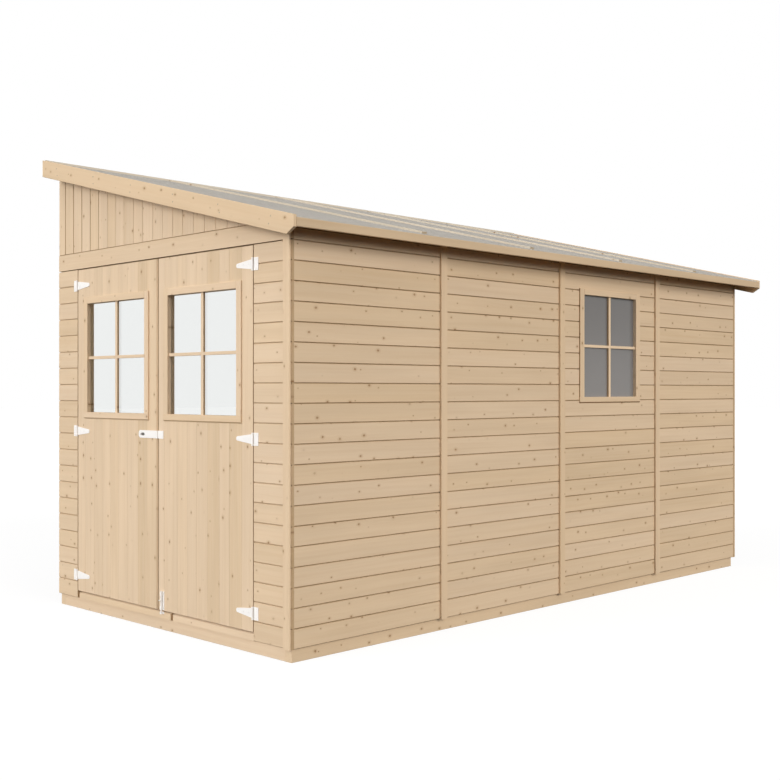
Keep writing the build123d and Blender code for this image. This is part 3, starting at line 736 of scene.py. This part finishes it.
class SHED_OT_studio(bpy.types.Operator):
    """Set up the camera, the lamps, the pale floor and the white backdrop"""

    bl_idname = "shed.studio"
    bl_label = "Studio"

    def execute(self, context):
        scene = context.scene
        scene.view_settings.view_transform = "Standard"
        camera = bpy.data.objects.new("Shed camera", bpy.data.cameras.new("Shed camera"))
        camera.location = (-5.094, -4.655, 1.172)
        camera.rotation_euler = (math.radians(90), 0, math.radians(-45.19))
        camera.data.lens = 52.66
        camera.data.shift_y = 0.0006
        camera.data.clip_end = 200
        scene.collection.objects.link(camera)
        scene.camera = camera

        for name, energy, tint, towards in LAMPS:
            sun = bpy.data.lights.new(name, "SUN")
            sun.energy = energy
            sun.color = tint
            sun.angle = LAMP_SPREAD
            lamp = bpy.data.objects.new(name, sun)
            lamp.rotation_euler = Vector(towards).to_track_quat("Z", "Y").to_euler()
            scene.collection.objects.link(lamp)

        white = (1.0, 1.0, 1.0, 1.0)
        s = Shader("White studio", bpy.data.worlds, "OutputWorld")
        soft, full = (s.node("Background", {"Color": white, "Strength": k}).outputs[0] for k in (0.45, 1.0))
        scene.world = s.close("MixShader", {0: s.seen(), 1: soft, 2: full})

        half = 60.0
        mesh = bpy.data.meshes.new("Studio floor")
        corners = [(-half, -half, 0), (half, -half, 0), (half, half, 0), (-half, half, 0)]
        mesh.from_pydata(corners, [], [(0, 1, 2, 3)])
        floor = bpy.data.objects.new("Studio floor", mesh)
        floor.location.z = -0.0005
        scene.collection.objects.link(floor)
        s = Shader("Pale floor")
        seen = s.seen()
        tint = s.mix(seen, (0.03, 0.03, 0.03), (0.86, 0.86, 0.86))
        matt = s.node("BsdfDiffuse", {"Color": tint}).outputs[0]
        glow = s.node("Emission", {"Color": white, "Strength": 1.12}).outputs[0]
        mesh.materials.append(s.close("MixShader", {0: s.times(seen, 0.78), 1: matt, 2: glow}))
        return {"FINISHED"}


class SHED_OT_base(bpy.types.Operator):
    """Lay the base frame's rails and bearers and the floor boards"""

    bl_idname = "shed.base"
    bl_label = "Base and Floor"

    def execute(self, context):
        rail = FRAME_X - INNER_X
        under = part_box("floor_boards")[0].z
        timbers = Timbers("Base_rails")
        for low_y, high_y in ((FRAME_Y, INNER_Y), (BEAM_Y, REAR_Y)):
            timbers.stick((-FRAME_X, low_y, 0), (FRAME_X, high_y, BASE_TOP), "X", cut=0.0)
        for low_x in (-FRAME_X, INNER_X):
            timbers.stick((low_x, INNER_Y, 0), (low_x + rail, BEAM_Y, BASE_TOP), "Y")
        for y in between(INNER_Y, BEAM_Y, 4):
            timbers.stick((-INNER_X, y - rail / 2, 0), (INNER_X, y + rail / 2, under), "X")
        timbers.finish("trim", "base_frame", slot="frame_timber")

        floor = Timbers("Floor_boards")
        place = placing(Vector((0, 0, BASE_TOP)), Y_AXIS, X_AXIS, -Z_AXIS)
        seams = steps(-INNER_X, INNER_X, sizes().floor_board)
        floor.boards(place, seams, INNER_Y, BEAM_Y, joint("tight"))
        floor.finish("sawn", "floor_boards", slot="floor_timber")
        return {"FINISHED"}


class SHED_OT_front_wall(bpy.types.Operator):
    """Board the four panels of the long wall and leave the window's hole"""

    bl_idname = "shed.front_wall"
    bl_label = "Long Wall"

    def execute(self, context):
        back, cover = sizes().board_thickness, sizes().wall_board
        top = roof_z(WALL_Y, DECK_UNDERSIDE)
        inner_top = roof_z(WALL_Y + back, DECK_UNDERSIDE)
        place = placing(Vector((0, WALL_Y, 0)), X_AXIS, Z_AXIS, Y_AXIS)
        seams = steps(BASE_TOP, BASE_TOP + WALL_COURSES * cover, cover)
        # The top course ends in a strip of painted shadow under the eave
        shaded = board_profile(seams[-1], top, back, *joint("open"), joint_high=False)
        shaded[-2:] = [(top - EAVE_SHADE, 0.0), (top, 0.0), (inner_top, back)]
        left, right, foot, head = window_hole("wall_window")
        for number in (1, 2, 3, 4):
            node = f"front_panel_{number}"
            low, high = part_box(node)
            hole = (foot, head, left, right) if low.x < left < high.x else None
            panel = Timbers(f"Front_panel_{number}_boards")
            panel.boards(place, seams, low.x, high.x, joint("open"), hole, dark=0.65)
            # Painted shade in the top course's lower joint, and deep painted shadow on its strip under the
            # eave
            panel.add(place, shaded, low.x, high.x, shades={1: 0.5, 2: 0.5, 3: 0.2, 5: 1.4})
            panel.finish("boards", node)
        return {"FINISHED"}


class SHED_OT_cover_strips(bpy.types.Operator):
    """Nail the cover strips over the panel joints and the trims at the corners"""

    bl_idname = "shed.cover_strips"
    bl_label = "Cover Strips"

    def execute(self, context):
        low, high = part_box("cover_strips")
        strips = Timbers("Cover_strips")
        cut = roof_cut(DECK_UNDERSIDE)
        for number in (2, 3, 4):
            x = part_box(f"front_panel_{number}")[0].x
            strips.stick((x - RAIL / 2, low.y, BASE_TOP), (x + RAIL / 2, WALL_Y, 0), "Z", end=cut, edge=0.002)
        for outer, inner in ((low.x, -WALL_X), (WALL_X, high.x)):
            strips.stick((outer, WALL_Y, BASE_TOP), (inner, WALL_Y + RAIL, 0), "Z", end=cut, edge=0.003)
        strips.finish("trim", "cover_strips")
        return {"FINISHED"}


class SHED_OT_door_gable(bpy.types.Operator):
    """Board the gable beside and above the doorway and lay the sill"""

    bl_idname = "shed.door_gable"
    bl_label = "Door Gable"

    def execute(self, context):
        flat, upright = on_gable(-WALL_X, X_AXIS)
        courses = steps(BASE_TOP, HEADER_Z, sizes().wall_board)
        for end in ("front", "rear"):
            low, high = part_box(f"door_gable_{end}_boards")
            boards = Timbers(f"Gable_boards_{end}")
            boards.boards(flat, courses, low.y, high.y, joint("open"), dark=0.3)
            boards.finish("boards", f"door_gable_{end}_boards")

        header = Timbers("Door_header")
        foot = HEADER_Z + HEADER_LIFT
        section = board_profile(foot, HEADER_TOP, sizes().board_thickness, *HEADER_JOINT, joint_low=False)
        # Painted shadow on the header's underside over the doors, and painted shade in its top joint
        header.add(flat, section, WALL_Y, REAR_Y, shades={**joint_shades(0.9, False), 0: 1.6})
        header.finish("boards", "door_header")

        boards = Timbers("Gable_top_boards")
        # The five rearmost open joints carry deeper painted shade than the fine ones
        for seams, kind, dark in ((GABLE_SEAMS[:-5], "fine", 0.3), (GABLE_SEAMS[-6:], "open", 1.3)):
            boards.boards(upright, seams, HEADER_TOP, roof_cut(DECK_UNDERSIDE), joint(kind), dark=dark)
        boards.finish("boards", "door_gable_top_boards")

        sill = Timbers("Door_sill")
        low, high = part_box("door_sill")
        notch, notch_width = JAMB_LOW_Y + 0.623, 0.020
        drop, slope = 0.004, 0.009
        section = [(low.z, high.x), (low.z, low.x), (high.z - drop, low.x)]
        section += [(high.z, low.x + slope), (high.z, high.x)]
        for start, end in ((low.y, notch), (notch + notch_width, high.y)):
            sill.add(placing(ORIGIN, Y_AXIS, Z_AXIS, X_AXIS), section, start, end, ends=0.2)
        sill.finish("trim", "door_sill", slot="wall_boards")
        return {"FINISHED"}


class SHED_OT_far_gable(bpy.types.Operator):
    """Board the gable at the far end, which has no doorway"""

    bl_idname = "shed.far_gable"
    bl_label = "Far Gable"

    def execute(self, context):
        flat, upright = on_gable(WALL_X, -X_AXIS)
        boards = Timbers("Far_gable_boards")
        courses = steps(BASE_TOP, HEADER_Z, sizes().wall_board) + [HEADER_TOP]
        boards.boards(flat, courses, WALL_Y, REAR_Y, joint("open"))
        boards.boards(upright, GABLE_SEAMS, HEADER_TOP, roof_cut(DECK_UNDERSIDE), joint("open"))
        boards.finish("boards", "far_gable_boards")
        return {"FINISHED"}


def sloping_rail(timbers, low_x, high_x, start_y, end_y, depth):
    """Add a rail under the roof deck that follows the slope."""
    section = timber_profile(low_x, high_x, 0, depth, sizes().timber_edge)
    timbers.add(on_slope(DECK_UNDERSIDE, -ROOF_NORMAL), section, plumb_cut(start_y), plumb_cut(end_y))


class SHED_OT_wall_frames(bpy.types.Operator):
    """Stand the studs and rails behind the boards of all the walls"""

    bl_idname = "shed.wall_frames"
    bl_label = "Wall Frames"

    def execute(self, context):
        self.long_wall()
        self.door_sides()
        self.gables()
        return {"FINISHED"}

    def long_wall(self):
        """Frames of the four panels, the one with the window on its own."""
        tops = [roof_z(y, DECK_UNDERSIDE) for y in (FRAME_Y, INNER_Y)]
        rail = [(FRAME_Y, tops[0] - RAIL), (INNER_Y, tops[1] - RAIL), (INNER_Y, tops[1]), (FRAME_Y, tops[0])]
        near, far, foot, head = window_hole("wall_window")
        for node, numbers in (("front_frames", (1, 2, 4)), ("window_frame", (3,))):
            timbers = Timbers(node.capitalize())
            for number in numbers:
                left, right = (corner.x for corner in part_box(f"front_panel_{number}"))
                inner = between(left, right, 2)
                if number == 3:
                    inner = [near - STUD / 2, far + STUD / 2]
                    for z in (foot - STUD, head):
                        timbers.stick((near, FRAME_Y, z), (far, INNER_Y, z + STUD), "X")
                timbers.stick((left, FRAME_Y, BASE_TOP), (right, INNER_Y, BASE_TOP + STUD), "X")
                for x in (left + STUD / 2, *inner, right - STUD / 2):
                    low = (x - STUD / 2, FRAME_Y, BASE_TOP + STUD)
                    timbers.stick(low, (x + STUD / 2, INNER_Y, 0), "Z", end=roof_cut(UNDER_RAIL))
                timbers.add(LEVEL, rail, left, right)
            timbers.finish("sawn", node)

    def door_sides(self):
        """Frames beside the doorway, and the threshold."""
        for node in ("door_frame_front", "door_frame_rear"):
            low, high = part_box(node)
            timbers = Timbers(node.capitalize())
            for y in (low.y, high.y - STUD):
                timbers.stick((low.x, y, low.z + STUD), (high.x, y + STUD, high.z - STUD), "Z")
            for z in (low.z, high.z - STUD):
                timbers.stick((low.x, low.y, z), (high.x, high.y, z + STUD), "Y")
            timbers.finish("sawn", node)
        threshold = Timbers("Door_threshold")
        threshold.stick(*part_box("door_threshold"), "Y")
        threshold.finish("sawn", "door_threshold")

    def gables(self):
        """Frame over the doorway, and the whole frame of the far gable."""
        ends = (INNER_Y + STUD / 2, REAR_Y - STUD / 2)
        rail_z, shortest = HEADER_Z + RAIL, 0.02
        for node, low_x in (("door_frame_top", -FRAME_X), ("far_gable_frame", INNER_X)):
            high_x = low_x + RAIL
            timbers = Timbers(node.capitalize())
            timbers.stick((low_x, INNER_Y, HEADER_Z), (high_x, REAR_Y, rail_z), "Y")
            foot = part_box(node)[0].z
            if foot < HEADER_Z:
                timbers.stick((low_x, INNER_Y, foot), (high_x, REAR_Y, foot + STUD), "Y")
            for y in (ends[0], *between(*ends, 4), ends[1]):
                near, far = (low_x, y - STUD / 2), (high_x, y + STUD / 2)
                if roof_z(y, DECK_UNDERSIDE + RAIL) > rail_z + shortest:
                    timbers.stick((*near, rail_z), (*far, 0), "Z", end=roof_cut(UNDER_RAIL))
                if foot < HEADER_Z:
                    timbers.stick((*near, foot + STUD), (*far, HEADER_Z), "Z")
            sloping_rail(timbers, low_x, high_x, INNER_Y, REAR_Y, INNER_Y - FRAME_Y)
            timbers.finish("sawn", node)


class SHED_OT_roof_timbers(bpy.types.Operator):
    """Set the wall beam, its post, the rafter, the purlins and the roof boards"""

    bl_idname = "shed.roof_timbers"
    bl_label = "Roof Timbers"

    def execute(self, context):
        beam = Timbers("Rear_beam")
        low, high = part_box("rear_beam")
        self.level(beam, low.z, low.y, high.y, low.x, high.x)
        beam.finish("sawn", "rear_beam")

        post = Timbers("Rear_post")
        post.stick(*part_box("rear_post"), "Z", edge=0.003)
        post.finish("sawn", "rear_post")

        rafter = Timbers("Centre_rafter")
        low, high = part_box("centre_rafter")
        sloping_rail(rafter, low.x, high.x, low.y, high.y, RAFTER_DEPTH)
        rafter.finish("sawn", "centre_rafter")

        purlins = Timbers("Purlins")
        for y in between(INNER_Y, BEAM_Y, 2):
            foot = roof_z(y, DECK_UNDERSIDE + RAFTER_DEPTH)
            for start, end in ((-INNER_X, low.x), (high.x, INNER_X)):
                self.level(purlins, foot, y - RAIL / 2, y + RAIL / 2, start, end)
        purlins.finish("sawn", "purlins")

        deck = Timbers("Roof_boards")
        low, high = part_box("roof_deck")
        seams = steps(low.x, high.x, sizes().deck_board)
        under = on_slope(DECK_UNDERSIDE, ROOF_NORMAL)
        deck.boards(under, seams, plumb_cut(low.y), plumb_cut(high.y), joint("open"))
        # The roof boards' colour carries painted shade for the underside under the eave
        deck.finish("roof", "roof_deck")
        return {"FINISHED"}

    def level(self, timbers, foot, near_y, far_y, start, end):
        """Add a level timber with an upright section whose top follows the slope."""
        near, far = ((roof_z(y, DECK_UNDERSIDE), y) for y in (near_y, far_y))
        section = [(foot, near_y), (foot, far_y), far, near]
        timbers.add(placing(ORIGIN, X_AXIS, Z_AXIS, Y_AXIS), section, start, end)


class SHED_OT_roof_covering(bpy.types.Operator):
    """Lay the felt, turned over the eave, and nail the battens down the slope"""

    bl_idname = "shed.roof_covering"
    bl_label = "Felt and Battens"

    def execute(self, context):
        low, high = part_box("roof_felt")
        self.felt(low.x, high.x)

        battens = Timbers("Roof_battens")
        nails = []
        foot_y, back = EAVE_Y + FASCIA, REAR_Y - BATTEN
        for x in between(-BARGE_TOP.x, BARGE_TOP.x, 4):
            profile = timber_profile(x - BATTEN / 2, x + BATTEN / 2, 0, FELT_TOP - BATTEN_TOP, 0.0015)
            battens.add(on_slope(FELT_TOP, ROOF_NORMAL), profile, plumb_cut(foot_y), plumb_cut(back))
            for y in between(EAVE_Y - 0.1, REAR_Y + 0.1, 7):
                nails.append(((x, y, roof_z(y, BATTEN_TOP)), ROOF_NORMAL))
        edges = ((back, FELT_TOP), (REAR_Y, FELT_TOP), (REAR_Y, BATTEN_TOP), (back, BATTEN_TOP))
        section = [(y, roof_z(y, depth)) for y, depth in edges]
        battens.add(LEVEL, section, low.x, high.x)
        middle, margin, last, sunk = REAR_Y - BATTEN / 2, 0.09, 15, 0.0008
        for i in range(last + 1):
            x = low.x + margin + i * (high.x - low.x - 2 * margin) / last
            nails.append(((x, middle, roof_z(middle, BATTEN_TOP) - sunk), ROOF_NORMAL))
        battens.finish("battens", "roof_battens")
        heads("Batten_nails", nails, sizes().nail_radius, zinc(), slot="trim_timber")
        return {"FINISHED"}

    def felt(self, low_x, high_x):
        """Lay the felt as a thin closed sheet with a slightly uneven face and eave edge."""
        chance = random.Random("felt")
        ranges = ((1.5, 9.0), (0, 6.3), (0.3, 1.0))
        waves = [[chance.uniform(*limits) for limits in ranges] for _ in range(7)]

        def wander(x, shift):
            total = sum(size * math.sin(rate * x + start + shift) for rate, start, size in waves)
            return total / sum(size for _, _, size in waves)

        columns, rows, turned = 161, 28, 3
        fascia_y = EAVE_Y + FASCIA
        bend, lap, swell, hollow = 0.05, 0.002, 0.0012, 0.0005
        overhang, ragged, underside = 0.0045, 0.004, 0.0048
        points, faces = [], []
        for under in (False, True):
            for row in range(rows + 1):
                for column in range(columns + 1):
                    x = low_x + (high_x - low_x) * column / columns
                    edge = EAVE_Y + overhang + ragged * wander(x * 2.2, 0.0)
                    share = max(0.0, row - turned) / (rows - turned)
                    y = fascia_y + lap + (REAR_Y - fascia_y - lap) * share
                    if row < turned:
                        y = edge + (fascia_y - edge) * row / turned
                    lift = swell * min(1.0, max(0.0, (fascia_y + bend - y) / bend))
                    dip = hollow * (1 + wander(x * 3.1, y * 9.0))
                    depth = FELT_TOP - lift + dip * (row > turned)
                    if under:
                        depth = underside if y > fascia_y + lap / 2 else FELT_TOP - 0.0001
                    points.append((x, y, roof_z(y, depth)))

        def quad(a, step, rise):
            return a, a + step, a + step + rise, a + rise

        wide = columns + 1
        below, last = wide * (rows + 1), wide * rows
        for a in range(0, last, wide):
            for b in range(a, a + columns):
                faces += [quad(b, 1, wide), quad(below + b, 1, wide)[::-1]]
        for a in range(columns):
            faces += [quad(a + 1, -1, below), quad(last + a, 1, below)]
        for a in range(0, last, wide):
            faces += [quad(a, wide, below), quad(a + columns + wide, -wide, below)]
        mesh = bpy.data.meshes.new("Roof_felt")
        mesh.from_pydata(points, [], faces)
        settle(mesh, finish_once("Mineral roofing felt", make_felt), "roof_felt", "root", "roof_felt")


class SHED_OT_roof_trim(bpy.types.Operator):
    """Fix the barge boards on both gables and the fascia along the eave"""

    bl_idname = "shed.roof_trim"
    bl_label = "Roof Trim"

    def execute(self, context):
        low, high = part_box("barge_boards")
        boards = Timbers("Barge_boards")
        corner = Vector((0, EAVE_Y, roof_z(EAVE_Y)))
        nails, sunk = [], 0.0020
        for x, outward in ((low.x, -1), (high.x - FASCIA, 1)):
            boards.plate(self.barge(x), corner, UP_SLOPE, ROOF_NORMAL)
            face = (x if outward < 0 else x + FASCIA) - outward * sunk
            chance = random.Random(outward)
            for y in between(EAVE_Y - 0.2, REAR_Y + 0.2, 6):
                for depth in BARGE_NAIL_ROWS:
                    spot = y + chance.uniform(-0.01, 0.01)
                    nails.append(((face, spot, roof_z(spot, depth)), (outward, 0, 0)))
        boards.tones = [-0.35] * len(boards.tones)
        boards.finish("trim", "barge_boards")
        heads("Barge_nails", nails, BARGE_NAIL_RADIUS, zinc(), slot="trim_timber")

        low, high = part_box("eave_fascia")
        fascia = Timbers("Eave_fascia")
        edge = 0.0015
        front, back = low.y + edge, high.y
        section = [
            (front, low.z),
            (back - edge, low.z),
            (back, low.z + edge),
            (back, roof_z(back, FELT_TOP)),
            (front, roof_z(front, FELT_TOP)),
            (low.y, roof_z(low.y, FELT_TOP) - edge),
            (low.y, low.z + edge),
        ]
        fascia.pick()
        fascia.tone = -1.2
        fascia.add(LEVEL, section, low.x, high.x, same=True)
        fascia.finish("trim", "eave_fascia")
        return {"FINISHED"}

    def barge(self, x):
        """Outlines of a barge board with a clipped lower end, from one bevelled face to the other."""
        run, rise = BARGE_CLIP
        drops = ((EAVE_Y, 0), (EAVE_Y, rise), (EAVE_Y + run, BARGE_DEPTH), (REAR_Y, BARGE_DEPTH), (REAR_Y, 0))
        outline = [(y, roof_z(y) - drop) for y, drop in drops]
        middle = sum(y for y, _ in outline) / len(outline)
        bevel, skin = BARGE_BEVEL, BARGE_BEVEL / 4
        layers = []
        for inset, depth in ((bevel, skin), (0, bevel), (0, FASCIA - bevel), (bevel, FASCIA - skin)):
            ring = []
            for y, z in outline:
                drop = -inset if z > roof_z(y, 0.03) else inset
                ring.append(Vector((x + depth, y + (inset if middle > y else -inset), z + drop)))
            layers.append((depth, ring))
        return layers


class SHED_OT_door_leaves(bpy.types.Operator):
    """Board both door leaves and brace them on the inside"""

    bl_idname = "shed.door_leaves"
    bl_label = "Door Leaves"

    def execute(self, context):
        _, upright = on_gable(-WALL_X, X_AXIS)
        for side in ("right", "left"):
            node, body = f"{side}_door", f"{side}_leaf"
            low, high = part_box(node)
            leaf = Timbers(f"{node.capitalize()}_boards")
            seams, tones = DOOR_BOARDS[side]
            seams = [WALL_Y + distance for distance in seams]
            inner = [low.y, *seams] if side == "right" else [*seams, high.y]
            top = high.z + DOOR_LIFT
            leaf.boards(upright, inner, low.z, top, joint("tight"), window_hole(node), 0.3, tones)
            section, shades = self.meeting_board(side, seams, low.y, high.y)
            leaf.add(upright, section, low.z, top, shades=shades)
            leaf.finish("doors", node, body=body)

            middle = (low.z + high.z) / 2
            low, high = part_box(f"{node}_bracing")
            bracing = Timbers(f"{node.capitalize()}_bracing")
            ledges = (low.z, middle - LEDGE / 2, high.z - LEDGE)
            for z in ledges:
                bracing.stick((low.x, low.y, z), (high.x, high.y, z + LEDGE), "Y")
            for near, far in zip(ledges, ledges[1:]):
                for y in (low.y, high.y - RAIL):
                    bracing.stick((low.x, y, near + LEDGE), (high.x, y + RAIL, far), "Z")
            foot_y, head_y = (high.y - RAIL, low.y + RAIL)
            if side == "right":
                foot_y, head_y = head_y, foot_y
            self.brace(bracing, (low.x, high.x), foot_y, ledges[0] + LEDGE, head_y, ledges[1])
            bracing.finish("sawn", f"{node}_bracing", body=body)
        return {"FINISHED"}

    def meeting_board(self, side, seams, low_y, high_y):
        """Section of the board at the meeting line, with a broad bevel or a rebate, and the painted shade on
        its bevel and edges.
        """
        back, bevel, step, lip = sizes().board_thickness, 0.009, 0.004, 0.005
        if side == "right":
            near = seams[-1]
            section = [(near, back), (near, 0.0), (high_y - bevel, 0.0), (high_y, step), (high_y, back)]
            return section, {2: 0.35, 3: 0.5}
        near = low_y - lip
        section = [(near, back), (near, step), (low_y, step), (low_y + 0.001, 0.0)]
        return [*section, (seams[0], 0.0), (seams[0], back)], {0: 0.5}

    def brace(self, bracing, depths, foot_y, foot_z, head_y, head_z):
        """Add the diagonal from the foot beside the hinges up to the middle ledge."""
        across = RAIL if head_y > foot_y else -RAIL
        outline = [
            (foot_y, foot_z),
            (foot_y + across, foot_z),
            (head_y, head_z - RAIL),
            (head_y, head_z),
            (head_y - across, head_z),
            (foot_y, foot_z + RAIL),
        ]
        run = Vector((0, head_y - foot_y, head_z - foot_z)).normalized()
        layers = [(x, [Vector((x, y, z)) for y, z in outline]) for x in depths]
        bracing.plate(layers, ORIGIN, run, Vector((0, -run.z, run.y)))


class SHED_OT_windows(bpy.types.Operator):
    """Fit the casings, liners, glass and crossed bars of the three windows"""

    bl_idname = "shed.windows"
    bl_label = "Windows"

    def execute(self, context):
        for name, node, body in (
            ("Wall_window", "wall_window", "root"),
            ("Right_door_window", "right_door", "right_leaf"),
            ("Left_door_window", "left_door", "left_leaf"),
        ):
            low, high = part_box(f"{node}_casing")
            centre, half_height = (low + high) / 2, (high.z - low.z) / 2 - CASING_RAIL
            if body == "root":
                right, outward, stile = X_AXIS, -Y_AXIS, WALL_STILE
                half_width = (high.x - low.x) / 2 - stile
                centre.y = WALL_Y
                # The wall pane takes glass with painted grey for its reflection and the dark inside
                glass = finish_once("Flat glass with painted grey", make_painted_grey_glass)
            else:
                right, outward, stile = -Y_AXIS, -X_AXIS, DOOR_STILE
                half_width = (high.y - low.y) / 2 - stile
                centre.x = -WALL_X
                glass = finish_once("Clear flat glass", make_glass)
            upright = placing(centre, Z_AXIS, right, outward)
            level = placing(centre, right, Z_AXIS, outward)
            self.casing(name, node, body, upright, level, half_width, half_height, stile)
            self.bars(name, body, upright, level, half_width, half_height)
            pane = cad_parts[f"{node}_glass"]
            pane.data.materials.clear()
            pane.data.materials.append(glass)
        return {"FINISHED"}

    def casing(self, name, node, body, upright, level, half_width, half_height, stile):
        """Build the casing and the liner round a clear opening, from the face of the boards, with painted
        shade on the wall window's outer sides and painted shadow on the bevel under each bottom rail.
        """
        edge, face = 0.0018, CASING_FACE
        slope, slope_depth = 0.006, 0.005
        casing = Timbers(f"{name}_casing")
        # Painted shade on the outer sides of the wall window's casing only
        dark = 1.0 if body == "root" else 0.0
        for side in (-1, 1):
            outer = {2: dark} if side == 1 else {5: 0.5 * dark, 6: dark}
            near, far = sorted((side * half_width, side * (half_width + stile)))
            section = timber_profile(near, far, 0, face, edge)
            casing.add(upright, section, -half_height, half_height + CASING_RAIL, shades=outer, ends=0.0)
            near, far = sorted((side * half_height, side * (half_height + CASING_RAIL)))
            section = timber_profile(near, far, 0, face, edge)
            length, under = half_width, {}
            # The bottom rail gets a lower bevel that carries painted shadow
            if side == -1:
                section[5:7] = [(near + slope, face), (near, face - slope_depth)]
                length, under = half_width + stile, {5: 0.3 + 0.9 * dark, 6: 1.0}
            casing.add(level, section, -length, length, shades=under, ends=0.0)
            casing.add(upright, self.liner(side, half_width), -half_height - LINER, half_height + LINER)
            casing.add(level, self.liner(side, half_height), -half_width, half_width)
        casing.finish("trim", f"{node}_casing", body=body)

    def liner(self, side, edge):
        """Section of the liner through the boards, with the groove that holds the glass."""
        groove, back, pane_back, pane_front = 0.0052, -0.036, -0.0182, PANE_FRONT
        points = ((0, 0), (LINER, 0), (LINER, back), (0, back), (0, pane_back))
        points += ((groove, pane_back), (groove, pane_front), (0, pane_front))
        return [(side * (edge + across), inward) for across, inward in points]

    def bars(self, name, body, upright, level, half_width, half_height):
        """Cross an upright bar and a level one in front of the glass."""
        half, cross = sizes().bar_width / 2, sizes().cross_bar_width / 2
        depths = (PANE_FRONT, CASING_FACE - sizes().bar_set_back)
        # Painted shade on both sides of every bar
        look = {"same": True, "shades": {2: 0.7, 6: 0.7}}
        bars = Timbers(f"{name}_bars")
        bars.tone = 1.8 if body == "root" else 0.9
        bars.add(upright, timber_profile(-half, half, *depths, 0.001), -half_height, half_height, **look)
        for start, end in ((-half_width, -half), (half, half_width)):
            bars.add(level, timber_profile(-cross, cross, *depths, 0.001), start, end, **look)
        bars.finish("trim", body=body)


class SHED_OT_fittings(bpy.types.Operator):
    """Coat the hinges, hasp and bolt white and drive their screws"""

    bl_idname = "shed.fittings"
    bl_label = "Fittings"

    def execute(self, context):
        coat = finish_once("White coated steel", make_metal)
        for node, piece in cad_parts.items():
            if piece.hide_render or node.endswith("_glass"):
                continue
            piece.data.materials.clear()
            piece.data.materials.append(zinc() if node == "hasp_staple" else coat)

        radius = sizes().screw_radius
        root = []
        across, up = FRAME_PLATE_SCREWS
        for side, jamb_y, into in (("right", JAMB_LOW_Y, 1), ("left", JAMB_HIGH_Y, -1)):
            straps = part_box(f"{side}_door_straps")
            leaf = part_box(f"{side}_door")
            pin_y = jamb_y + into * PIN_INSET
            levels = (straps[0].z + STRAP_END, (leaf[0].z + leaf[1].z) / 2, straps[1].z - STRAP_END)
            spots = [self.spot(pin_y + into * along, z) for z in levels for along in STRAP_SCREWS]
            root += [self.spot(pin_y - into * across, z + step) for z in levels for step in (-up, up)]
            if side == "right":
                plate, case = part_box("hasp_plate"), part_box("drop_bolt_case")
                middle = (plate[0].z + plate[1].z) / 2
                for y in (plate[0].y + HASP_SCREWS[0], plate[0].y + HASP_SCREWS[1]):
                    spots += [self.spot(y, middle + step) for step in (-HASP_SCREW_STEP, HASP_SCREW_STEP)]
                edge, end = BOLT_SCREWS
                for y in (case[0].y + edge, case[1].y - edge):
                    spots += [self.spot(y, z) for z in (case[0].z + end, case[1].z - end)]
            heads(f"{side.capitalize()}_leaf_screws", spots, radius, coat, f"{side}_leaf")
        heads("Hinge_plate_screws", root, radius, coat)
        return {"FINISHED"}

    def spot(self, y, z):
        """Seat of a screw in the countersunk hole of a plate on the gable."""
        return (-WALL_X - COUNTERSINK, y, z), -X_AXIS


OPERATORS = (
    SHED_OT_studio,
    SHED_OT_base,
    SHED_OT_front_wall,
    SHED_OT_cover_strips,
    SHED_OT_door_gable,
    SHED_OT_far_gable,
    SHED_OT_wall_frames,
    SHED_OT_roof_timbers,
    SHED_OT_roof_covering,
    SHED_OT_roof_trim,
    SHED_OT_door_leaves,
    SHED_OT_windows,
    SHED_OT_fittings,
)


class SHED_PT_panel(bpy.types.Panel):
    """Steps, sizes and colours of the shed"""

    bl_idname = "SHED_PT_panel"
    bl_label = "Garden Shed"
    bl_space_type = "VIEW_3D"
    bl_region_type = "UI"
    bl_category = "Shed"

    def draw(self, context):
        layout = self.layout
        for operator in OPERATORS:
            layout.operator(operator.bl_idname)
        for group in (context.scene.shed_sizes, context.scene.shed_colours):
            column = layout.column()
            for name in group.__annotations__:
                column.prop(group, name)


CLASSES = (ShedSizes, ShedColours, *OPERATORS, SHED_PT_panel)


def register():
    """Add the classes and the settings they use."""
    for item in CLASSES:
        bpy.utils.register_class(item)
    bpy.types.Scene.shed_sizes = bpy.props.PointerProperty(type=ShedSizes)
    bpy.types.Scene.shed_colours = bpy.props.PointerProperty(type=ShedColours)


def unregister():
    """Take the settings and the classes away again."""
    del bpy.types.Scene.shed_colours
    del bpy.types.Scene.shed_sizes
    for item in reversed(CLASSES):
        bpy.utils.unregister_class(item)


def main():
    """Build every piece in order."""
    register()
    for operator in OPERATORS:
        area, name = operator.bl_idname.split(".")
        getattr(getattr(bpy.ops, area), name)()


if __name__ == "__main__":
    main()
